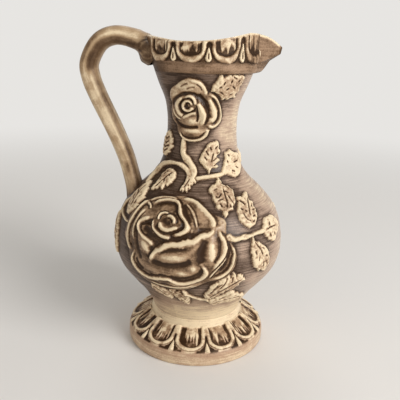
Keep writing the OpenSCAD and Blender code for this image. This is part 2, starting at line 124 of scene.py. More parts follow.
bodyLine = np.array(
    stretch(wall["bellyLowShares"], waistZ, widestZ, wall["waistR"], bellyR)
    + stretch(wall["bellyHighShares"], widestZ, shoulderZ, wall["shoulderR"], bellyR)
    + stretch(wall["neckLowShares"], shoulderZ, narrowZ, wall["neckR"], wall["shoulderR"])
    + stretch(wall["neckHighShares"], narrowZ, collarZ, wall["neckR"], wall["neckTopR"]))


def smoothAt(line, x):
    lean = np.empty(len(line))
    lean[1:-1] = (line[2:, 1] - line[:-2, 1]) / (line[2:, 0] - line[:-2, 0])
    lean[0] = (line[1, 1] - line[0, 1]) / (line[1, 0] - line[0, 0])
    lean[-1] = (line[-1, 1] - line[-2, 1]) / (line[-1, 0] - line[-2, 0])
    i = np.clip(np.searchsorted(line[:, 0], x, side="right") - 1, 0, len(line) - 2)
    span = line[i + 1, 0] - line[i, 0]
    t = (x - line[i, 0]) / span
    return ((2 * t ** 3 - 3 * t ** 2 + 1) * line[i, 1] + (t ** 3 - 2 * t ** 2 + t) * span * lean[i]
            + (3 * t ** 2 - 2 * t ** 3) * line[i + 1, 1] + (t ** 3 - t ** 2) * span * lean[i + 1])


# the same wall by its length along the outline, from the waist up
runZ = np.linspace(waistZ, collarZ, wall["runSteps"])
runR = smoothAt(bodyLine, runZ)
runV = np.concatenate([[0], np.cumsum(np.hypot(np.diff(runZ), np.diff(runR)))])
runNormalR = np.gradient(runZ, runV)
runNormalZ = -np.gradient(runR, runV)


def radiusAt(v):
    return np.interp(v, runV, runR)


def wallPoint(angle, v, high):
    r = radiusAt(v) + high * np.interp(v, runV, runNormalR)
    z = np.interp(v, runV, runZ) + high * np.interp(v, runV, runNormalZ)
    a = np.radians(angle)
    return np.stack(np.broadcast_arrays(r * np.sin(a), -r * np.cos(a), z), -1)


# a pixel of the picture, followed to the wall or to a skin that stands lift above it
def pixelOnWall(pixels, lift):
    pixels = np.asarray(pixels, float) - view["picture"] / 2
    roll, pitch = math.radians(view["roll"]), math.radians(view["pitch"])
    x = (pixels[:, 0] * math.cos(roll) + pixels[:, 1] * math.sin(roll)) / view["focal"]
    up = (pixels[:, 0] * math.sin(roll) - pixels[:, 1] * math.cos(roll)) / view["focal"]
    ray = np.stack([x, math.cos(pitch) + up * math.sin(pitch),
                    up * math.cos(pitch) - math.sin(pitch)], -1)
    eye = np.array([view["aside"], -view["distance"], view["height"]])
    before, behind, steps = view["search"]
    reach = np.linspace(view["distance"] - before, view["distance"] + behind, steps)
    point = eye + reach[None, :, None] * ray[:, None, :]
    lift = np.broadcast_to(lift, len(pixels))[:, None]
    out = np.hypot(point[..., 0], point[..., 1]) - np.interp(point[..., 2], runZ, runR)
    gap = out * np.interp(point[..., 2], runZ, runNormalR) - lift
    hit = np.where((gap < 0).any(1), np.argmax(gap < 0, 1), np.argmin(gap, 1))
    each = np.arange(len(hit))
    met, out = point[each, hit], out[each, hit]
    angle = np.degrees(np.arctan2(met[:, 0], -met[:, 1])) + view["turn"]
    return angle, np.interp(met[:, 2], runZ, runV) - out * np.interp(met[:, 2], runZ, runNormalZ)


# net of cells over the front half of the wall; the back is its mirror image
net = dict(columnStep=0.45, rowStep=0.4)  # degrees, millimetres
netA = np.linspace(-90, 90, int(180 / net["columnStep"]) + 1)
netV = np.linspace(0, runV[-1], int(runV[-1] / net["rowStep"]) + 1)
netR = radiusAt(netV)
netShape = (len(netV), len(netA))
relief = np.zeros(netShape)           # height above the wall
owner = np.full(netShape, -1)         # which piece of clay a cell belongs to
tone = np.zeros(netShape)             # wash that a cell is painted with
pieces = []                           # names, in the order of their numbers in owner


# blur over a closed ring of cells, sigma in millimetres
def blurRing(values, sigma, radii, rowStep):
    columns = values.shape[1]
    waves = np.fft.rfftfreq(columns) * columns
    spread = np.exp(-0.5 * (waves[None, :] * (sigma / radii)[:, None]) ** 2)
    soft = np.fft.irfft(np.fft.rfft(values, axis=1) * spread, columns, axis=1)
    reach = int(3 * sigma / rowStep) + 1
    weights = np.exp(-0.5 * (np.arange(-reach, reach + 1) * rowStep / sigma) ** 2)
    weights /= weights.sum()
    padded = np.pad(soft, ((reach, reach), (0, 0)), mode="edge")
    return sum(w * padded[k:k + len(soft)] for k, w in enumerate(weights))


def closeRing(half):
    return np.hstack([half[:, :-1], half[:, :0:-1]])


# uneven clay: seeded grain of one size over a ring of cells, about -1 to 1
def unevenness(seed, sigma, radii, rowStep, columns):
    grain = np.random.default_rng(seed).standard_normal((len(radii), columns))
    grain = blurRing(grain, sigma, radii, rowStep)
    return grain / (1.6 * grain.std())


fineGrain, broadGrain = [
    unevenness(seed, sigma, netR, netV[1] - netV[0], 2 * (netShape[1] - 1))[:, :netShape[1]]
    for seed, sigma in ((11, 0.55), (12, 1.6))]


def smoothLine(points, perSpan=6):
    p = np.asarray(points, float)
    p = np.vstack([2 * p[0] - p[1], p, 2 * p[-1] - p[-2]])
    t = (np.arange(perSpan) / perSpan)[:, None]
    spans = []
    for i in range(1, len(p) - 2):
        spans.append(0.5 * (2 * p[i] + (p[i + 1] - p[i - 1]) * t
                            + (2 * p[i - 1] - 5 * p[i] + 4 * p[i + 1] - p[i + 2]) * t ** 2
                            + (3 * p[i] - p[i - 1] - 3 * p[i + 1] + p[i + 2]) * t ** 3))
    return np.vstack(spans + [p[-2:-1]])


def smoothLoop(points, perSpan=6):
    p = np.asarray(points, float)
    ring = smoothLine(np.vstack([p[-2:], p, p[:2]]), perSpan)
    return ring[2 * perSpan:-perSpan - 1]


# part of the net around some points, with flat coordinates in millimetres and its grain
def openWindow(angle, v, margin):
    midA, midV = (angle.min() + angle.max()) / 2, (v.min() + v.max()) / 2
    rows = np.where((netV > v.min() - margin) & (netV < v.max() + margin))[0]
    spread = np.degrees(margin / netR[rows].min())
    cols = np.where((netA > angle.min() - spread) & (netA < angle.max() + spread))[0]
    part = (slice(rows[0], rows[-1] + 1), slice(cols[0], cols[-1] + 1))
    x = np.radians(netA[part[1]] - midA)[None, :] * netR[part[0]][:, None]
    y = np.repeat((netV[part[0]] - midV)[:, None], x.shape[1], 1)
    return dict(part=part, x=x, y=y, midA=midA, midV=midV, fine=fineGrain[part], broad=broadGrain[part])


def flatten(window, angle, v):
    return np.stack([np.radians(angle - window["midA"]) * radiusAt(v), v - window["midV"]], -1)


# distance from every cell to a line, its side (left of the run is +1) and the share of the run
def lineDistance(x, y, line):
    best = np.full(x.shape, 1e9)
    side = np.ones(x.shape)
    along = np.zeros(x.shape)
    for i in range(len(line) - 1):
        ax, ay = line[i]
        bx, by = line[i + 1] - line[i]
        t = np.clip(((x - ax) * bx + (y - ay) * by) / max(bx * bx + by * by, 1e-9), 0, 1)
        dx, dy = x - ax - t * bx, y - ay - t * by
        d = np.hypot(dx, dy)
        nearer = d < best
        best = np.where(nearer, d, best)
        side = np.where(nearer, np.where(bx * dy - by * dx >= 0, 1.0, -1.0), side)
        along = np.where(nearer, (i + t) / (len(line) - 1), along)
    return best, side, along


# distance into a closed outline, negative outside
def loopDistance(x, y, loop):
    closed = np.vstack([loop, loop[:1]])
    d = lineDistance(x, y, closed)[0]
    inside = np.zeros(x.shape, bool)
    for (ax, ay), (bx, by) in zip(closed[:-1], closed[1:]):
        if ay != by:
            inside ^= ((ay > y) != (by > y)) & (x < (bx - ax) * (y - ay) / (by - ay) + ax)
    return np.where(inside, d, -d)


# window round an outline, with the distance into it
def openOutline(angle, v, margin):
    window = openWindow(angle, v, margin)
    return window, loopDistance(window["x"], window["y"], flatten(window, angle, v))


# edge of a piece that rises steeply and levels out
def risen(into, reach):
    return 1 - np.exp(-np.maximum(into, 0) / reach)


leastHigh = 0.03  # what is lower than this is bare wall


def claim(window, high, name, shade):
    if name not in pieces:
        pieces.append(name)
    number = pieces.index(name)
    part = window["part"]
    over = (high > leastHigh) & (high > relief[part])
    owner[part] = np.where(over, number, owner[part])
    tone[part] = np.where(over, shade, tone[part])
    relief[part] = np.where(over, high, relief[part])


perPixel = (view["distance"] - bellyR) / view["focal"] * view["slant"]  # millimetres on the near wall
lineLook = dict(halfShare=0.6, ends=0.1)  # half of a drawn line's width, and the run in which its ends fade


# pixels followed to a first skin, then to the height that is modelled where they met it
def pixelOnRelief(window, pixels, lift):
    angle, v = pixelOnWall(pixels, lift)
    if "base" in window:
        rows, cols = window["part"]
        i = np.clip(np.searchsorted(netV[rows], v), 0, rows.stop - rows.start - 1)
        j = np.clip(np.searchsorted(netA[cols], angle), 0, cols.stop - cols.start - 1)
        angle, v = pixelOnWall(pixels, window["base"][i, j])
    return angle, v


# closeness to a line on the wall, with its width in pixels at start, middle, end
def nearLine(window, angle, v, widths):
    d, side, t = lineDistance(window["x"], window["y"], flatten(window, angle, v))
    half = np.interp(t, [0, 0.5, 1], widths) * lineLook["halfShare"] * perPixel
    ends = smoothStep(0, lineLook["ends"], t) * smoothStep(0, lineLook["ends"], 1 - t)
    return d / half, side, ends


def drawLine(window, points, widths, lift):
    return nearLine(window, *pixelOnRelief(window, smoothLine(points), lift), widths)


def drawSpot(window, px, py, halfW, halfH, lean, lift):
    angle, v = pixelOnRelief(window, [(px, py), (px + halfW, py), (px, py - halfH)], lift)
    mid, right, top = flatten(window, angle, v)
    w, h = np.hypot(*(right - mid)), np.hypot(*(top - mid))
    c, s = math.cos(math.radians(lean)), math.sin(math.radians(lean))
    x, y = window["x"] - mid[0], window["y"] - mid[1]
    return np.exp(-((x * c + y * s) / w) ** 2 - ((y * c - x * s) / h) ** 2)


# roses, all in pixels of the picture
# rims: points, widths, rise, deep side (1 left of the run, -1 right, 0 both)
# grooves: points, width, depth
# swells: place, half width, half height, lean, rise, how much paler
bellyRose = dict(
    name="belly_rose", lift=3.0, edge=1.0, dome=2.3, domeReach=21.0, dip=0.7, wash=0.71,
    outline=[(150, 198), (140, 203), (131, 212), (126, 223), (124, 235), (128, 248), (129, 257),
             (132, 267), (140, 276), (148, 282), (157, 287), (166, 290), (181, 291), (195, 288),
             (208, 283), (221, 280), (231, 274), (237, 263), (237, 252), (233, 244), (229, 238),
             (227, 231), (227, 223), (224, 218), (217, 215), (209, 210), (202, 203), (193, 197),
             (183, 195), (172, 195), (160, 195)],
    wholes=dict(
        heart=[(154, 221), (158, 211), (167, 208), (177, 213), (182, 222), (180, 230), (170, 234),
               (160, 232)],
        inner=[(149, 203), (158, 198), (172, 197), (182, 202), (187, 213), (197, 222), (196, 236),
               (182, 240), (166, 242), (152, 235), (149, 220)],
        middle=[(135, 219), (150, 203), (158, 198), (172, 197), (184, 196), (195, 198), (207, 209),
                (216, 224), (215, 232), (206, 242), (196, 258), (183, 264), (165, 266), (149, 262),
                (140, 252), (134, 238)]),
    rims=dict(
        budTop=([(158, 219), (159, 215.5), (161, 213), (165, 212), (168, 212.5)], (1.6, 2.2, 1.6), 1.3, 0),
        budHook=([(167, 215.5), (170, 215.5), (172.5, 217), (174, 220), (173.5, 223.5)],
                 (2, 2.8, 2.4), 1.2, 0),
        budLow=([(159.5, 221), (160.5, 226), (163.5, 229), (168, 230), (173, 228.5), (178, 227.5)],
                (2.4, 3.4, 2), 1.5, -1),
        innerLeft=([(153.5, 219), (152.5, 223), (153, 228), (155.5, 231.5), (159, 234.5),
                    (163, 236.5), (167, 237.5), (170, 239)], (1, 1.6, 2.6), 1.1, -1),
        innerWrap=([(154, 203), (158, 201), (163, 200), (170, 199.5), (176, 201), (179, 204),
                    (180, 208), (180.5, 213), (182.5, 217), (185, 220.5), (186.5, 224), (187, 227.5),
                    (185, 231), (181, 233.5), (177, 234.5), (173, 235)], (2.6, 2.6, 3), 1.8, 0),
        topLip=([(150, 199.5), (156, 197.5), (164, 196.5), (172, 197), (178, 199)], (2, 3, 2), 0.5, 0),
        leftFold=([(151, 217), (146, 218), (141, 220), (138.5, 224), (138.5, 228), (140, 232),
                   (143, 236), (147, 239.5), (150, 242), (153, 246)], (3.4, 2.2, 2.6), 1.8, 1),
        leftOuter=([(150, 200), (145, 201.5), (140, 206), (136, 211), (132, 217), (129, 223),
                    (127.5, 230), (127, 236), (127.5, 241), (129, 246), (131, 249)],
                   (2.2, 2.4, 2.4), 1.3, 1),
        leftMiddle=([(146, 208), (140, 214), (136, 220), (133.5, 226), (132.5, 232), (133, 238)],
                    (2, 1.9, 1.4), 0.9, 1),
        leftTuck=([(147.5, 201.5), (150, 204), (150.5, 208)], (2, 2, 1.4), 0.7, 0),
        frontRim=([(150, 261), (151, 257), (153.5, 253), (157, 250.5), (160, 249.5), (164, 247),
                   (168, 245), (174, 244.6), (180, 244.2), (186, 242.6), (190, 242.2), (195, 241),
                   (200, 237), (204, 235.5), (208, 235), (212, 232.5), (213.5, 229)],
                  (3.4, 4.8, 3.2), 2.2, 1),
        upperRight=([(183, 198.5), (188, 199), (193, 200.5), (197, 203), (201, 207), (205, 211),
                     (209, 215.5), (212, 219.5), (213.5, 224), (213.5, 229)], (2.6, 3.4, 3.6), 1.8, 1),
        upperLine=([(186, 203), (191, 209), (194, 215), (196, 222), (197, 228)], (1.4, 1.6, 1.2), 0.35, 0),
        rightInner=([(219, 231), (221, 236), (224, 241), (225.5, 246), (225.5, 250), (224, 255),
                     (221, 260), (217, 265), (213, 270)], (2.2, 4, 2), 1.6, 1),
        rightLine=([(227, 258), (222, 265), (215, 272), (209, 279)], (1, 1.4, 1.4), 0.5, 0),
        rightOuter=([(232, 246), (234, 251), (234.5, 255), (233.5, 261), (232, 266), (229, 271),
                     (225, 274.5), (220, 277.5), (213, 279.5)], (1.8, 2.6, 2.2), 1.4, -1),
        bottomRim=([(134, 250.5), (132.5, 254), (132, 258), (133, 262), (136, 267), (140, 271.5),
                    (145, 275), (150, 277.5), (156, 278.5), (162, 279), (168, 279.5), (172, 281.5),
                    (177, 283.5), (184, 284), (190, 283), (195, 281.5), (200, 279.5), (204, 277),
                    (206.3, 274), (205.5, 271), (203.5, 268), (201, 264.5)], (1.8, 2.8, 2.6), 1.7, 1),
        lowFold=([(149, 281), (158, 285), (166, 287), (175, 288.5), (185, 288), (192, 286.5)],
                 (1.6, 2, 1.4), 0.5, 0)),
    grooves=dict(
        underHeart=([(151, 232), (155, 237), (161, 240.5), (170, 242), (180, 241.5), (190, 239.5),
                     (197, 236.5)], 4, 1.2),
        pocket=([(144, 221), (149, 221), (152, 222)], 5, 1.2),
        pocketLow=([(143, 226), (147, 229), (151, 234), (155, 241), (158, 246)], 5, 0.8),
        wrapInside=([(183, 219), (184, 226), (181, 230), (176, 231.5), (168, 232.7), (161, 231.5)],
                    2.6, 0.9),
        frontUpper=([(157, 253.5), (162, 251.5), (168, 250.5), (178, 250), (188, 248.5)], 3.4, 0.9),
        frontLower=([(151, 260), (156, 263), (164, 266), (174, 266.5), (184, 265), (192, 261)], 5, 1.1),
        frontRight=([(206, 239), (203, 246), (200.5, 253), (200.5, 259), (203, 264)], 6.5, 1.0),
        leftDeep=([(137, 222), (135.5, 232), (136, 242), (138, 252), (141, 260)], 4, 0.9),
        leftTuck=([(150, 246), (151, 252), (148, 259)], 4, 0.9),
        wrapOutside=([(184, 203), (185, 210), (187, 217), (191, 224)], 4, 0.6),
        upperLow=([(198, 229), (205, 229.5), (211, 229.5)], 2.2, 0.6),
        foldRight=([(218.5, 236), (220, 246), (218.5, 256), (213.5, 264)], 2.6, 0.9),
        rightDeep=([(227.5, 243), (229, 250), (228, 258), (224, 266), (218, 272)], 3.4, 0.9),
        bottomDeep=([(168, 276.5), (178, 279.5), (190, 278.5), (198, 275), (202, 270)], 3, 0.7),
        bottomLeft=([(135, 257), (138, 264), (143, 270)], 3.4, 0.7),
        budDeep=([(164, 217), (166, 223), (170, 222)], 4, 0.5),
        wrapTop=([(158, 204.5), (167, 203), (175, 205), (177.5, 211)], 3, 0.4)),
    swells=dict(
        frontPetal=(174, 258, 15, 4.2, 8, 1.4, 0.46),
        rightFold=(212, 251, 4.2, 11.5, 6, 1.6, 0.56),
        leftTip=(144.5, 246, 3.2, 7.5, 38, 1.2, 0.62),
        # wrapSide is paler partly from wash wiped off the swell, partly a painted highlight where a glint
        # falls
        wrapSide=(189, 228, 4, 5.5, 15, 0.9, 0.66),
        frontSide=(195, 249, 9, 2.8, 42, 0.5, 0.24),
        bottomRight=(193, 270, 3.5, 3, 0, 0.8, 0.42),
        bottomMiddle=(182, 274.5, 9, 2.2, -5, 0.4, 0.22),
        bottomLeft=(155, 271, 12, 3.5, -15, 0.4, 0.18),
        upperRight=(202, 216, 7, 11, 30, 0.5, 0.27),
        leftPatch=(143, 211, 5.5, 4, 35, 0.4, 0.28),
        behindLeaf=(220, 223, 7.5, 8.5, 0, 0.3, 0.42),
        bottomCorner=(204, 274, 3, 4, 0, 0.5, 0.3),
        bottomUnder=(184, 287.5, 18, 3.2, 0, 0.3, 0.36)))

neckRose = dict(
    name="neck_rose", lift=2.6, edge=1.2, dome=1.5, domeReach=11.0, dip=0.6, wash=0.66,
    outline=[(190, 78), (199, 80), (205, 86), (208, 92), (214, 93.5), (219, 100), (222, 112),
             (221.5, 121), (217, 127), (210, 131), (207, 137), (200, 141.5), (190, 142), (182, 139),
             (177, 132), (176, 125), (172, 119), (170.5, 110), (171, 103), (169, 97), (170, 89),
             (175, 85), (182, 80)],
    wholes=dict(
        heart=[(180, 101), (184, 97), (191, 98), (195, 104), (192, 112), (184, 112)],
        inner=[(171, 106), (176, 98), (184, 94), (193, 94), (202, 101), (207, 113), (204, 125),
               (194, 128), (180, 126), (173, 117)]),
    rims=dict(
        bud=([(191.8, 106), (191, 103), (188.5, 101.2), (185.5, 101.3), (183.2, 103.5), (182.6, 107),
              (184.6, 110), (188.5, 110.8), (191.3, 109.2), (192, 106.5)], (2, 2.4, 3), 1.3, 0),
        arch=([(185, 97.5), (189, 96.5), (192.5, 98), (194.5, 101), (195, 105)], (1.8, 2.6, 2), 1.2, 0),
        leftInner=([(182, 97), (178.5, 101), (176.5, 105), (177.5, 110), (180, 114), (183, 116)],
                   (2.4, 3.4, 2.6), 1.3, 1),
        leftOuter=([(173, 108), (174, 113), (177, 117), (180.5, 119.5)], (1.4, 2, 1.4), 0.8, -1),
        lowInner=([(182, 118), (187, 115.5), (192, 113.5), (196, 113.5)], (1.8, 2.4, 2.4), 1.0, 1),
        rightInner=([(197.5, 103), (200.5, 107), (203, 112), (204.7, 116), (203.5, 120.5), (201, 125)],
                    (2.6, 3.4, 2.6), 1.3, 1),
        rightOuter=([(210, 94.5), (215.5, 98), (219.5, 105), (221, 113), (220.5, 120), (217, 125),
                     (212, 127.3), (207.5, 125)], (1.8, 2.2, 2.6), 1.2, 1),
        rightCrest=([(209, 99), (212, 105), (214.5, 112), (214.5, 118), (210, 122)], (3, 5, 4), 1.3, 0),
        topRight=([(190, 79.8), (199, 82.5), (203.5, 86.5), (206, 91), (205.5, 95)], (1.6, 2.6, 2), 0.7, 1),
        bottom=([(179, 132), (182, 137), (187, 140), (193, 140.8), (199, 139.8), (204, 137.2),
                 (207.8, 133), (207.5, 129.5)], (1.4, 2, 3), 1.1, 1)),
    grooves=dict(
        underTop=([(172, 106), (174, 100), (179, 96), (186, 93.8), (193, 94.8), (198, 98)], 3.6, 1.2),
        roundBud=([(184, 99), (180.5, 103), (180, 108), (183, 112.5), (188, 113.2), (194, 111)], 2.4, 1.0),
        hole=([(185.5, 105), (187.5, 105)], 4, 1.2),
        gapTop=([(194.5, 96.5), (198.5, 97.5), (202.5, 100.5), (206, 105)], 4, 1.6),
        lowRight=([(196.3, 104), (197.5, 111), (197.6, 118), (196.5, 122.5)], 1.7, 1.0),
        between=([(197, 94.5), (201.5, 98.5), (205.5, 106), (208, 113), (206.8, 119), (204.5, 124.5)],
                 3.6, 1.2),
        rightThin=([(212, 97), (216.8, 104), (218.4, 112), (216.6, 120), (212.5, 124.3)], 1.5, 0.6),
        underLow=([(174, 118), (178, 123), (184, 126.5), (191, 127.7), (199, 127)], 2.8, 1.1),
        bottomDeep=([(183, 136.5), (191, 138.6), (199, 137)], 1.8, 0.5),
        topDashA=([(180, 87), (184, 84.5), (188, 83.5)], 1.5, 0.5),
        topDashB=([(186, 89.5), (191, 87.5), (195, 87.5)], 1.5, 0.5),
        topDashC=([(196, 84), (200, 87), (202, 91)], 1.5, 0.5)),
    swells=dict(
        top=(188, 86, 17, 8, 0, 1.0, 0.4),
        topLeft=(174, 93, 5, 6, 0, 0.6, 0.36),
        lowInner=(191, 121, 6, 4, 8, 1.1, 0.26),
        rightInner=(200.5, 112, 2.6, 9, 18, 1.0, 0.42),
        rightLow=(200, 121, 3.5, 4, 0, 0.5, 0.25),
        bottom=(193, 131.5, 11, 3, 0, 1.0, 0.28),
        bottomTip=(206.5, 132, 2, 3.5, -20, 0.6, 0.36),
        outerLow=(209, 121, 4, 4, 0, 0.5, 0.32)))


# how petals are worked: heights and reaches in millimetres, those of rims in half widths
petalLook = dict(
    margin=3.0, edgeReach=0.8, edgeRound=0.5, skin=0.6, leastHigh=0.25, fineMottle=0.05, broadMottle=0.07,
    swellUneven=0.08, grooveWash=0.36, grooveFull=0.9, grooveMost=1.1, rimBroad=0.2, rimFine=0.1,
    sharpShare=0.72, softShare=0.28, softReach=2.4, endLow=0.3, endMore=0.7, dipPlace=1.9, dipReach=0.8,
    dipShallow=0.2, dipWash=0.2, dipDarkest=0.92, wipeLow=0.35, wipeMore=0.6, wipeLevel=0.9,
    wipeUneven=0.14, wipeGain=1.15, wipedWash=0.04)


def sculptRose(rose):
    look, lift = petalLook, rose["lift"]
    edgeA, edgeV = pixelOnWall(smoothLoop(rose["outline"]), rose["edge"])
    window, into = openOutline(edgeA, edgeV, look["margin"])
    x, y, fine, broad = [window[key] for key in ("x", "y", "fine", "broad")]
    base = rose["edge"] * risen(into, look["edgeReach"])
    base += rose["dome"] * smoothStep(0, rose["domeReach"], into)
    window["base"] = base + look["skin"]
    shade = rose["wash"] - look["fineMottle"] * fine - look["broadMottle"] * broad
    for px, py, halfW, halfH, lean, rise, paler in rose["swells"].values():
        spot = drawSpot(window, px, py, halfW, halfH, lean, lift)
        base += rise * spot * (1 + look["swellUneven"] * broad)
        shade -= paler * spot
    groove = np.zeros(x.shape)
    for points, width, depth in rose["grooves"].values():
        near, side, ends = drawLine(window, points, (width, width, width), lift)
        groove = np.maximum(groove, depth * (np.exp(-near ** 2) * ends))
    shade += look["grooveWash"] * np.minimum(groove / look["grooveFull"], look["grooveMost"])
    crest, wiped = np.zeros(x.shape), np.zeros(x.shape)
    for points, widths, rise, deep in rose["rims"].values():
        near, side, ends = drawLine(window, points, widths, lift)
        near = near * (1 + look["rimBroad"] * broad + look["rimFine"] * fine)
        onDeep = (side * deep > 0) | (deep == 0)
        sharp = np.exp(-near ** 2)
        soft = look["sharpShare"] * sharp + look["softShare"] * np.exp(-(near / look["softReach"]) ** 2)
        rolled = np.where(onDeep, sharp, soft)
        crest = np.maximum(crest, rise * (look["endLow"] + look["endMore"] * ends) * rolled)
        wipe = rolled * ends * min(look["wipeLow"] + look["wipeMore"] * rise, 1)
        wiped = np.maximum(wiped, wipe * (look["wipeLevel"] + look["wipeUneven"] * broad))
        ditch = np.exp(-((near - look["dipPlace"]) / look["dipReach"]) ** 2) * ends
        ditch = ditch * np.where(onDeep, 1.0, look["dipShallow"])
        groove = np.maximum(groove, rose["dip"] * min(rise, 1) * ditch)
        shade = np.maximum(shade, np.minimum(shade + look["dipWash"] * ditch, look["dipDarkest"]))
    groove *= np.clip(1 - crest, 0, 1)
    shade = blend(shade, look["wipedWash"], np.clip(wiped * look["wipeGain"], 0, 1))
    high = np.where(into > 0, np.maximum(base + crest - groove, look["leastHigh"]), 0)
    high = high * smoothStep(0, look["edgeRound"], into)
    taken = np.zeros(x.shape, bool)
    for ring, outline in rose["wholes"].items():
        angle, v = pixelOnRelief(window, smoothLoop(outline), lift)
        inside = loopDistance(x, y, flatten(window, angle, v)) > 0
        piece = rose["name"] + ("_heart" if ring == "heart" else "_" + ring + "_petals")
        claim(window, np.where(inside & ~taken, high, 0), piece, shade)
        taken |= inside
    claim(window, np.where(~taken, high, 0), rose["name"] + "_outer_petals", shade)


sculptRose(bellyRose)
sculptRose(neckRose)
print("roses sculpted:", len(pieces), "pieces")

